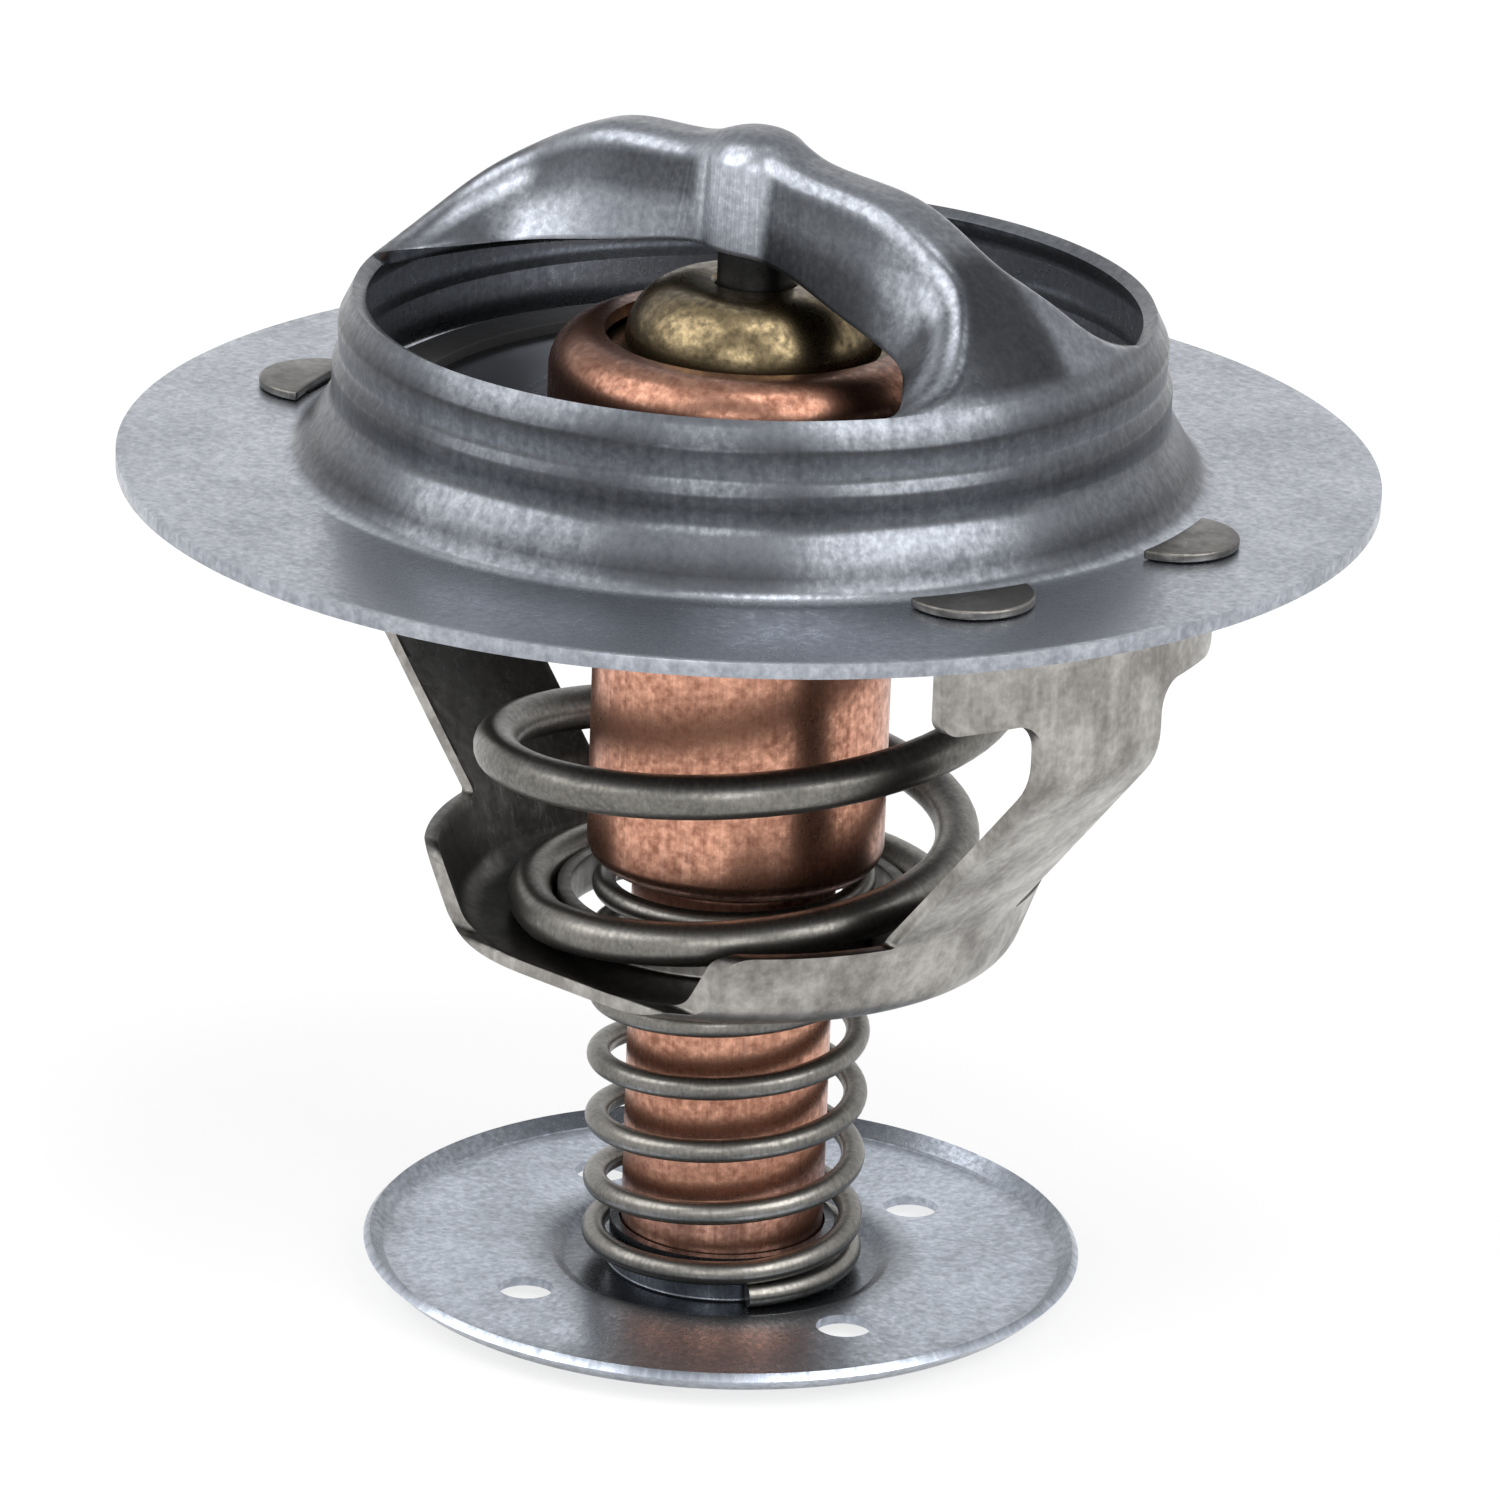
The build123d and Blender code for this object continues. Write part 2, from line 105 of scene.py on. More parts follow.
class Graph:
    """A short way to write a node tree."""

    def __init__(self, tree: bpy.types.NodeTree) -> None:
        """Keep the tree that is written.

        Args:
            tree: The shader or geometry node tree.
        """
        self.tree = tree

    def add(self, kind: str, inputs: Optional[dict] = None, **settings: object) -> bpy.types.Node:
        """Add a node, set its settings and fill or link its inputs.

        Args:
            kind: Blender's name of the node type.
            inputs: Input name or index, with the value or the socket that feeds it.
            settings: Attributes of the node.

        Returns:
            The new node.
        """
        node = self.tree.nodes.new(kind)
        for key, value in settings.items():
            setattr(node, key, value)
        for key, value in (inputs or {}).items():
            self.feed(node.inputs[key], value)
        return node

    def feed(self, socket: bpy.types.NodeSocket, value: Input) -> None:
        """Link a socket, or set the value on it.

        Args:
            socket: The input socket.
            value: A socket to link from, or a plain value.
        """
        if isinstance(value, bpy.types.NodeSocket):
            self.tree.links.new(value, socket)
        else:
            socket.default_value = value

    def math(self, operation: str, first: Input, second: Input = 0.0) -> bpy.types.NodeSocket:
        """Add one Math node.

        Args:
            operation: The Math node's operation.
            first: Its first operand.
            second: Its second operand.

        Returns:
            The result's socket.
        """
        inputs = {0: first, 1: second}
        return self.add("ShaderNodeMath", inputs, operation=operation).outputs[0]

    def between(self, value: Input, span: Point, result: Point) -> bpy.types.NodeSocket:
        """Map a value from one span to another, clamped.

        Args:
            value: The value to map.
            span: Lowest and highest value that come in.
            result: What they become.

        Returns:
            The mapped value's socket.
        """
        inputs = {0: value, 1: span[0], 2: span[1], 3: result[0], 4: result[1]}
        return self.add("ShaderNodeMapRange", inputs).outputs[0]

    def mix(self, share: Input, first: Input, second: Input, way: str = "MIX") -> bpy.types.NodeSocket:
        """Mix two colours.

        Args:
            share: How much of the second colour there is.
            first: The first colour.
            second: The second colour.
            way: The Mix node's blend type.

        Returns:
            The mixed colour's socket.
        """
        inputs = {0: share, 6: first, 7: second}
        return self.add("ShaderNodeMix", inputs, data_type="RGBA", blend_type=way).outputs[2]

    def group(self, name: str, inputs: Optional[dict] = None) -> bpy.types.Node:
        """Place a shader node group by its name."""
        return self.add("ShaderNodeGroup", inputs, node_tree=bpy.data.node_groups[name])

    def seen_rays(self) -> bpy.types.NodeSocket:
        """Tell the rays that show something from those that only light it.

        Returns:
            A socket with 1 for rays from the camera, a reflection or a see-through piece, and else 0.
        """
        rays = self.add("ShaderNodeLightPath").outputs
        seen = self.math("MAXIMUM", rays["Is Camera Ray"], rays["Is Glossy Ray"])
        return self.math("MAXIMUM", seen, rays["Is Transmission Ray"])

    def dressed(self, geometry: Input, material: Input) -> None:
        """End a geometry tree: real points, then the material, then the output.

        Args:
            geometry: The socket of the finished geometry.
            material: The socket of its material.
        """
        real = self.add("GeometryNodeRealizeInstances", {"Geometry": geometry})
        done = self.add("GeometryNodeSetMaterial", {"Geometry": real.outputs[0], "Material": material})
        self.add("NodeGroupOutput", {"Geometry": done.outputs[0]})


def emptied(owner: Union[bpy.types.Material, bpy.types.World]) -> Graph:
    """Empty the node tree of a material or a world.

    Args:
        owner: The material or the world.

    Returns:
        A writer for the empty tree.
    """
    owner.use_nodes = True
    owner.node_tree.nodes.clear()
    return Graph(owner.node_tree)


def group_with(name: str, kind: str, inputs: dict, outputs: dict) -> tuple[bpy.types.NodeTree, Graph]:
    """Make a node group with a named interface.

    Args:
        name: The group's name.
        kind: Its tree type.
        inputs: Input names with (socket type, default or None).
        outputs: Output names with their socket types.

    Returns:
        The tree and a writer for it.
    """
    tree = bpy.data.node_groups.new(name, kind)
    for label, (socket_type, default) in inputs.items():
        socket = tree.interface.new_socket(label, in_out="INPUT", socket_type=socket_type)
        if default is not None:
            socket.default_value = default
    for label, socket_type in outputs.items():
        tree.interface.new_socket(label, in_out="OUTPUT", socket_type=socket_type)
    return tree, Graph(tree)


def round_frame() -> bpy.types.NodeTree:
    """Build the group that turns Object coordinates into a pattern space round the Z axis.

    Returns:
        The group, whose output holds the turn's sine and cosine and then the height with the radius.
    """
    turn_reach = 20.0
    inputs = {"Stretch": ("NodeSocketVector", (1.0, 1.0, 1.0))}
    tree, graph = group_with("around_axis", "ShaderNodeTree", inputs, {"Vector": "NodeSocketVector"})
    source = graph.add("NodeGroupInput")
    place = graph.add("ShaderNodeTexCoord").outputs["Object"]
    scaled = graph.add("ShaderNodeVectorMath", {0: place, 3: 1 / MM}, operation="SCALE")
    parts = graph.add("ShaderNodeSeparateXYZ", {0: scaled.outputs[0]})
    across = graph.math("MULTIPLY", parts.outputs[0], parts.outputs[0])
    deep = graph.math("MULTIPLY", parts.outputs[1], parts.outputs[1])
    radius = graph.math("SQRT", graph.math("ADD", across, deep))
    turn = graph.math("ARCTAN2", parts.outputs[1], parts.outputs[0])
    # The sine and cosine of the turn close the pattern where the angle jumps
    ring = graph.math("MULTIPLY", graph.math("SINE", turn), turn_reach)
    ring_too = graph.math("MULTIPLY", graph.math("COSINE", turn), turn_reach)
    stretch = graph.add("ShaderNodeSeparateXYZ", {0: source.outputs["Stretch"]})
    first = graph.math("MULTIPLY", ring, stretch.outputs[0])
    second = graph.math("MULTIPLY", ring_too, stretch.outputs[0])
    lift = graph.math("MULTIPLY", parts.outputs[2], stretch.outputs[2])
    reach = graph.math("MULTIPLY", radius, stretch.outputs[1])
    joined = graph.add("ShaderNodeCombineXYZ", {0: first, 1: second, 2: graph.math("ADD", lift, reach)})
    graph.add("NodeGroupOutput", {"Vector": joined.outputs[0]})
    return tree


def worn_metal() -> bpy.types.NodeTree:
    """Build the group that gives every metal its grain, streaks, clouds and scratches.

    Returns:
        The group, with the masks Grain, Streak, Cloud and Scratch, all from 0 to 1.
    """
    inputs = {
        "Stretch": ("NodeSocketVector", (1.0, 1.0, 1.0)),
        "Grain Scale": ("NodeSocketFloat", 4.0),
        "Streak Scale": ("NodeSocketFloat", 2.0),
        "Cloud Scale": ("NodeSocketFloat", 0.15),
        "Scratch Scale": ("NodeSocketFloat", 0.5),
    }
    names = ("Grain", "Streak", "Cloud", "Scratch")
    outputs = {name: "NodeSocketFloat" for name in names}
    tree, graph = group_with("worn_metal", "ShaderNodeTree", inputs, outputs)
    source = graph.add("NodeGroupInput")
    place = graph.add("ShaderNodeTexCoord").outputs["Object"]
    flat = graph.add("ShaderNodeVectorMath", {0: place, 3: 1 / MM}, operation="SCALE").outputs[0]
    around = graph.group("around_axis", {"Stretch": source.outputs["Stretch"]})

    def noise(vector: Input, scale: Input, detail: float, rough: float) -> bpy.types.NodeSocket:
        """Add one noise texture and give the socket of its value."""
        inputs = {"Vector": vector, "Scale": scale, "Detail": detail, "Roughness": rough}
        return graph.add("ShaderNodeTexNoise", inputs).outputs[0]

    grain = noise(flat, source.outputs["Grain Scale"], 3.0, 0.6)
    streak = noise(around.outputs[0], source.outputs["Streak Scale"], 4.0, 0.62)
    cloud = noise(flat, source.outputs["Cloud Scale"], 4.0, 0.55)
    # Scratches are the thin level lines of a stretched noise
    lines = noise(around.outputs[0], source.outputs["Scratch Scale"], 2.0, 0.5)
    gap = graph.math("ABSOLUTE", graph.math("SUBTRACT", lines, 0.5))
    masks = {
        "Grain": graph.between(grain, (0.3, 0.7), (0.0, 1.0)),
        "Streak": graph.between(streak, (0.32, 0.68), (0.0, 1.0)),
        "Cloud": graph.between(cloud, (0.35, 0.65), (0.0, 1.0)),
        "Scratch": graph.between(gap, (0.0, 0.006), (1.0, 0.0)),
    }
    graph.add("NodeGroupOutput", masks)
    return tree


@dataclass(frozen=True)
class Metal:
    """A metal's finish: two colours, its gloss and its lines.

    A finish with painted light is darkened by the piece's own attribute, which holds its painted shade and
    highlights.
    """

    name: str
    light: Colour
    dark: Colour
    roughness: Point = (0.25, 0.4)
    streak: Streak = Streak.NONE
    streak_share: float = 0.5
    grain_share: float = 0.3
    cloud_share: float = 0.3
    grain_scale: float = 4.0
    streak_scale: float = 2.0
    cloud_scale: float = 0.15
    scratch_share: float = 0.3
    bump: float = 0.05
    with_painted_light: bool = False

    def material(self) -> bpy.types.Material:
        """Build the finish as a material.

        Returns:
            The material.
        """
        made = bpy.data.materials.new(self.name)
        graph = emptied(made)
        scales = {
            "Stretch": self.streak.value,
            "Grain Scale": self.grain_scale,
            "Streak Scale": self.streak_scale,
            "Cloud Scale": self.cloud_scale,
        }
        masks = graph.group("worn_metal", scales).outputs
        shares = {"Grain": self.grain_share, "Streak": self.streak_share, "Cloud": self.cloud_share}
        total = sum(shares.values())
        parts = [graph.math("MULTIPLY", masks[key], part / total) for key, part in shares.items()]
        mask = graph.math("ADD", graph.math("ADD", parts[0], parts[1]), parts[2])
        mask = graph.between(mask, (0.2, 0.8), (0.0, 1.0))
        colour = graph.mix(mask, (*self.dark, 1.0), (*self.light, 1.0))
        # Pieces with painted light get their painted shade and highlights here
        if self.with_painted_light:
            colour = self.darkened(graph, colour, mask)
        scratch = graph.math("MULTIPLY", masks["Scratch"], self.scratch_share)
        height = graph.math("SUBTRACT", mask, graph.math("MULTIPLY", scratch, 2.0))
        bump = graph.add("ShaderNodeBump", {"Strength": self.bump, "Distance": 0.05 * MM, "Height": height})
        inputs = {
            "Base Color": graph.mix(scratch, colour, (0.5, 0.5, 0.5, 1.0), "SCREEN"),
            "Metallic": 1.0,
            "Roughness": graph.between(mask, (0.0, 1.0), self.roughness),
            "Normal": bump.outputs[0],
        }
        shader = graph.add("ShaderNodeBsdfPrincipled", inputs)
        graph.add("ShaderNodeOutputMaterial", {"Surface": shader.outputs[0]})
        return made

    def darkened(self, graph: Graph, colour: Input, worn: Input) -> bpy.types.NodeSocket:
        """Darken the colour by the piece's painted shade and highlights, with some of the wear in it.

        Args:
            graph: The material's writer.
            colour: The colour so far.
            worn: The mask of the wear.

        Returns:
            The darkened colour's socket.
        """
        # The stored painted shade and highlights multiply the colour, with some wear mixed in
        tone = graph.add("ShaderNodeAttribute", attribute_name=PAINTED_LIGHT).outputs["Fac"]
        shade_and_wear = graph.math("MULTIPLY", tone, graph.between(worn, (0.0, 1.0), (0.85, 1.15)))
        grey = graph.add("ShaderNodeCombineXYZ", {0: shade_and_wear, 1: shade_and_wear, 2: shade_and_wear})
        return graph.mix(1.0, colour, grey.outputs[0], "MULTIPLY")


@dataclass(frozen=True)
class Matt:
    """A matt finish that isn't metal, such as rubber or wax."""

    name: str
    light: Colour
    dark: Colour
    roughness: Point = (0.6, 0.8)
    grain_scale: float = 3.0

    def material(self) -> bpy.types.Material:
        """Build the finish as a material.

        Returns:
            The material.
        """
        made = bpy.data.materials.new(self.name)
        graph = emptied(made)
        mask = graph.group("worn_metal", {"Grain Scale": self.grain_scale}).outputs["Grain"]
        colour = graph.mix(mask, (*self.dark, 1.0), (*self.light, 1.0))
        bump = graph.add("ShaderNodeBump", {"Strength": 0.15, "Distance": 0.05 * MM, "Height": mask})
        rough = graph.between(mask, (0.0, 1.0), self.roughness)
        inputs = {"Base Color": colour, "Roughness": rough, "Normal": bump.outputs[0]}
        shader = graph.add("ShaderNodeBsdfPrincipled", inputs)
        graph.add("ShaderNodeOutputMaterial", {"Surface": shader.outputs[0]})
        return made


class Finishes:
    """The finishes of the thermostat's pieces, each built once."""

    PRESSED = Metal(
        "pressed_steel", light=(0.43, 0.455, 0.50), dark=(0.31, 0.33, 0.375),
        roughness=(0.36, 0.24), streak=Streak.ALONG, streak_share=0.4, grain_share=0.6,
        grain_scale=2.5, streak_scale=1.6, scratch_share=0.0, with_painted_light=True,
    )
    STAMPED = Metal(
        "stamped_steel", light=(0.41, 0.395, 0.37), dark=(0.24, 0.228, 0.212),
        roughness=(0.42, 0.30), streak=Streak.ALONG, streak_share=0.3, cloud_share=0.5,
        cloud_scale=0.3, grain_scale=2.0, streak_scale=0.7, scratch_share=0.1, with_painted_light=True,
    )
    WIRE = Metal(
        "spring_wire", light=(0.24, 0.23, 0.21), dark=(0.12, 0.115, 0.105), roughness=(0.42, 0.30),
        grain_scale=3.5, streak_scale=2.0, streak_share=0.2, scratch_share=0.1,
    )
    COPPER = Metal(
        "drawn_copper", light=(0.68, 0.36, 0.25), dark=(0.40, 0.175, 0.115), roughness=(0.38, 0.26),
        streak=Streak.ALONG, streak_share=0.25, grain_share=0.8, grain_scale=2.0, streak_scale=2.0,
        scratch_share=0.1, with_painted_light=True,
    )
    BRASS = Metal(
        "turned_brass", light=(0.24, 0.185, 0.105), dark=(0.08, 0.062, 0.036),
        roughness=(0.34, 0.24), streak_share=0.0, grain_scale=2.0, grain_share=0.6,
        scratch_share=0.0,
    )
    PIN = Metal(
        "ground_pin", light=(0.06, 0.06, 0.06), dark=(0.03, 0.03, 0.03), roughness=(0.45, 0.35),
        streak=Streak.AROUND, scratch_share=0.0,
    )
    PLATE = Metal(
        "valve_steel", light=(0.14, 0.143, 0.153), dark=(0.08, 0.083, 0.09), streak=Streak.AROUND,
        scratch_share=0.1,
    )
    DISC = Metal(
        "disc_steel", light=(0.46, 0.50, 0.57), dark=(0.32, 0.35, 0.40), roughness=(0.34, 0.24),
        grain_scale=3.0, scratch_share=0.1, with_painted_light=True,
    )
    RUBBER = Matt("seal_rubber", light=(0.03, 0.03, 0.03), dark=(0.015, 0.015, 0.015))
    WAX = Matt("wax", light=(0.60, 0.42, 0.22), dark=(0.50, 0.34, 0.17), roughness=(0.4, 0.6))

    def __init__(self) -> None:
        """Build the shared groups, then nothing more until a finish is asked for."""
        round_frame()
        worn_metal()
        self.made: dict[str, bpy.types.Material] = {}

    def get(self, finish: Union[Metal, Matt]) -> bpy.types.Material:
        """Give the material of a finish, built on first use.

        Args:
            finish: The finish.

        Returns:
            Its material.
        """
        if finish.name not in self.made:
            self.made[finish.name] = finish.material()
        return self.made[finish.name]


def rounded(points: Sequence[Point], radii: Sequence[float], arc_step: float = 8.0) -> list[Point]:
    """Round the inner corners of an open outline with arcs.

    Args:
        points: The outline's corners.
        radii: One radius for each corner between the first and the last point.
        arc_step: Degrees of turn for each short run of an arc.

    Returns:
        The outline with its arcs as short runs.
    """
    result = [tuple(points[0])]
    for index, radius in enumerate(radii, start=1):
        before, corner, after = (np.array(points[index + k], float) for k in (-1, 0, 1))
        back = (before - corner) / np.linalg.norm(before - corner)
        ahead = (after - corner) / np.linalg.norm(after - corner)
        half = math.acos(max(-1.0, min(1.0, float(back @ ahead)))) / 2
        if radius <= 0 or half > math.radians(89.5):
            result.append(tuple(corner))
            continue
        reach = radius / math.tan(half)
        middle = (back + ahead) / np.linalg.norm(back + ahead)
        centre = corner + middle * radius / math.sin(half)
        start = corner + back * reach - centre
        sweep = math.pi - 2 * half
        sign = 1.0 if start[0] * (ahead[1] - back[1]) - start[1] * (ahead[0] - back[0]) > 0 else -1.0
        count = max(2, math.ceil(math.degrees(sweep) / arc_step))
        for step in range(count + 1):
            angle = sign * sweep * step / count
            turned = (
                start[0] * math.cos(angle) - start[1] * math.sin(angle),
                start[0] * math.sin(angle) + start[1] * math.cos(angle),
            )
            result.append((centre[0] + turned[0], centre[1] + turned[1]))
    result.append(tuple(points[-1]))
    return result


def arc(radius: float, start: float, end: float, count: int, middle: float = 0.0) -> list[Point]:
    """Give points on a circle round a place on the X axis, from one angle in radians to the other."""
    return [(middle + radius * math.cos(a), radius * math.sin(a)) for a in np.linspace(start, end, count)]


def divided(points: Sequence[Point], longest: float) -> list[Point]:
    """Split the runs of an outline so that none is longer than asked.

    Args:
        points: The outline.
        longest: The longest run that may stay.

    Returns:
        The outline with more points on the same runs.
    """
    result = [tuple(points[0])]
    for start, end in zip(points[:-1], points[1:]):
        count = max(1, math.ceil(math.dist(start, end) / longest))
        for step in range(1, count + 1):
            share = step / count
            result.append((start[0] + (end[0] - start[0]) * share, start[1] + (end[1] - start[1]) * share))
    return result


def sheet_section(path: Sequence[Point], gauge: float) -> list[Point]:
    """Give a sheet's closed section from the path of its outer face.

    Args:
        path: The outer face, with arcs as short runs.
        gauge: The sheet's thickness, laid off to the left of the path.

    Returns:
        The closed outline.
    """
    line = np.array(path, float)
    runs = np.diff(line, axis=0)
    runs /= np.linalg.norm(runs, axis=1)[:, None]
    before = np.vstack([runs[:1], runs])
    after = np.vstack([runs, runs[-1:]])
    lean = before + after
    lean /= np.linalg.norm(lean, axis=1)[:, None]
    normal = np.stack([-lean[:, 1], lean[:, 0]], axis=1)
    stretch = 1 / np.maximum(np.sum(normal * np.stack([-before[:, 1], before[:, 0]], axis=1), axis=1), 0.5)
    inner = line + normal * (gauge * stretch)[:, None]
    return [tuple(p) for p in line] + [tuple(p) for p in inner[::-1]]


class SmoothCurve:
    """A natural cubic spline through a few points, as a function of the first number."""

    def __init__(self, points: Sequence[Point]) -> None:
        """Solve the spline.

        Args:
            points: (place, value) pairs with rising places.
        """
        self.places = np.array([p[0] for p in points], float)
        self.values = np.array([p[1] for p in points], float)
        count = len(points)
        gaps = np.diff(self.places)
        system = np.eye(count)
        right = np.zeros(count)
        for i in range(1, count - 1):
            system[i, i - 1 : i + 2] = gaps[i - 1], 2 * (gaps[i - 1] + gaps[i]), gaps[i]
            slopes = np.diff(self.values[i - 1 : i + 2]) / gaps[i - 1 : i + 1]
            right[i] = 6 * (slopes[1] - slopes[0])
        # The curve is level where it crosses the axis
        system[0, :2] = 2 * gaps[0], gaps[0]
        right[0] = 6 * (self.values[1] - self.values[0]) / gaps[0]
        self.bends = np.linalg.solve(system, right)

    def __call__(self, place: np.ndarray) -> np.ndarray:
        """Read the curve.

        Args:
            place: One place or many.

        Returns:
            The value at each place.
        """
        place = np.clip(place, self.places[0], self.places[-1])
        i = np.clip(np.searchsorted(self.places, place) - 1, 0, len(self.places) - 2)
        gap = self.places[i + 1] - self.places[i]
        ahead, behind = self.places[i + 1] - place, place - self.places[i]
        cubic = (self.bends[i] * ahead**3 + self.bends[i + 1] * behind**3) / (6 * gap)
        start = self.values[i] / gap - self.bends[i] * gap / 6
        end = self.values[i + 1] / gap - self.bends[i + 1] * gap / 6
        return cubic + start * ahead + end * behind


def placed(name: str, data: bpy.types.ID) -> bpy.types.Object:
    """Make an object and put it into the scene.

    Args:
        name: The object's name.
        data: Its mesh, lamp or camera.

    Returns:
        The object.
    """
    made = bpy.data.objects.new(name, data)
    bpy.context.scene.collection.objects.link(made)
    return made


def mesh_object(
    name: str,
    points: Sequence[Sequence[float]],
    faces: Sequence[Sequence[int]],
    material: bpy.types.Material,
) -> bpy.types.Object:
    """Make an object from points in millimetres.

    Args:
        name: The object's name.
        points: Its points.
        faces: Its faces, as point numbers.
        material: Its finish.

    Returns:
        The object, at the origin, with normals that point outwards.
    """
    mesh = bpy.data.meshes.new(name)
    mesh.from_pydata((np.array(points, float) * MM).tolist(), [], [list(f) for f in faces])
    mesh.materials.append(material)
    work = bmesh.new()
    work.from_mesh(mesh)
    bmesh.ops.remove_doubles(work, verts=work.verts, dist=MERGE * MM)
    bmesh.ops.dissolve_degenerate(work, edges=work.edges, dist=MERGE / 5 * MM)
    bmesh.ops.recalc_face_normals(work, faces=work.faces)
    work.to_mesh(mesh)
    work.free()
    made = placed(name, mesh)
    shade(made)
    return made


def shade(piece: bpy.types.Object, sharp_deg: float = 38.0) -> None:
    """Shade a piece smooth, with sharp edges kept.

    Args:
        piece: The mesh object.
        sharp_deg: Edges that turn more than this stay sharp.
    """
    mesh = piece.data
    mesh.polygons.foreach_set("use_smooth", [True] * len(mesh.polygons))
    mesh.set_sharp_from_angle(angle=math.radians(sharp_deg))
    mesh.update()


def tone(piece: bpy.types.Object, rule: Callable[[np.ndarray, np.ndarray], np.ndarray]) -> None:
    """Store each point's painted shade and highlight, as the piece's own attribute.

    Args:
        piece: The mesh object.
        rule: Gives the painted brightness from places in millimetres and directions that the points face.
    """
    mesh = piece.data
    spots = np.empty(3 * len(mesh.vertices), np.float32)
    facing = np.empty(3 * len(mesh.vertices), np.float32)
    mesh.vertices.foreach_get("co", spots)
    mesh.vertices.foreach_get("normal", facing)
    values = rule(spots.reshape(-1, 3) / MM, facing.reshape(-1, 3))
    layer = mesh.attributes.new(PAINTED_LIGHT, "FLOAT", "POINT")
    layer.data.foreach_set("value", values.astype(np.float32))


def reach_and_lean(spots: np.ndarray, facing: np.ndarray) -> tuple[np.ndarray, np.ndarray]:
    """Give each point's distance from the Z axis, and how far it faces away from the axis."""
    r = np.maximum(np.hypot(spots[:, 0], spots[:, 1]), 0.01)
    return r, (facing[:, 0] * spots[:, 0] + facing[:, 1] * spots[:, 1]) / r


def blend(value: np.ndarray, start: float, end: float) -> np.ndarray:
    """Rise smoothly from 0 at the start to 1 at the end."""
    share = np.clip((value - start) / (end - start), 0.0, 1.0)
    return share * share * (3 - 2 * share)


def apply_modifiers(piece: bpy.types.Object) -> None:
    """Turn a piece's modifiers into plain mesh and remove them.

    Args:
        piece: The object with modifiers.
    """
    view = bpy.context.evaluated_depsgraph_get()
    mesh = bpy.data.meshes.new_from_object(piece.evaluated_get(view))
    materials = [slot.material for slot in piece.material_slots]
    piece.modifiers.clear()
    piece.data = mesh
    if not mesh.materials:
        for material in materials:
            mesh.materials.append(material)


def cut(piece: bpy.types.Object, tool: bpy.types.Object, operation: str) -> None:
    """Cut, join or trim a piece with another, which is then removed.

    Args:
        piece: The object that is changed.
        tool: The other object.
        operation: DIFFERENCE, UNION or INTERSECT.
    """
    step = piece.modifiers.new("cut", "BOOLEAN")
    step.operation = operation
    step.solver = "EXACT"
    step.object = tool
    apply_modifiers(piece)
    bpy.data.objects.remove(tool)


def soften(piece: bpy.types.Object, width: float, segments: int = 2) -> None:
    """Round a sheet's sheared edges a little.

    Args:
        piece: The mesh object.
        width: The bevel's width in millimetres.
        segments: How many faces the round has.
    """
    step = piece.modifiers.new("soften", "BEVEL")
    step.width = width * MM
    step.segments = segments
    step.limit_method = "ANGLE"
    step.angle_limit = math.radians(45.0)
    apply_modifiers(piece)
    shade(piece)


def grid_faces(
    rows: int, columns: int, wrap_rows: bool, wrap_columns: bool, first: int = 0
) -> list[tuple[int, ...]]:
    """Give the faces of a grid of points that are numbered row by row.

    Args:
        rows: How many rows there are.
        columns: How many points a row has.
        wrap_rows: Whether the last row joins the first.
        wrap_columns: Whether a row's last point joins its first.
        first: The number of the grid's first point.

    Returns:
        The faces, as four point numbers each.
    """
    faces = []
    for i in range(rows if wrap_rows else rows - 1):
        here, there = first + i * columns, first + (i + 1) % rows * columns
        for j in range(columns if wrap_columns else columns - 1):
            k = (j + 1) % columns
            faces.append((here + j, there + j, there + k, here + k))
    return faces


def turned_points(line: Sequence[Point], segments: int) -> np.ndarray:
    """Turn (radius, height) points round the Z axis.

    Args:
        line: The points.
        segments: How many steps the turn has.

    Returns:
        The points, one row of them for each step.
    """
    r, z = np.array(line, float).T
    turns = np.arange(segments) * (2 * math.pi / segments)
    rows = [np.outer(np.cos(turns), r), np.outer(np.sin(turns), r), np.tile(z, (segments, 1))]
    return np.stack(rows, axis=2).reshape(-1, 3)


def lathe(
    name: str, section: Sequence[Point], material: bpy.types.Material, segments: int = 192
) -> bpy.types.Object:
    """Turn a closed section round the Z axis.

    Args:
        name: The object's name.
        section: (radius, height) points of the section.
        material: Its finish.
        segments: How many steps the turn has.

    Returns:
        The object.
    """
    faces = grid_faces(segments, len(section), True, True)
    return mesh_object(name, turned_points(section, segments), faces, material)


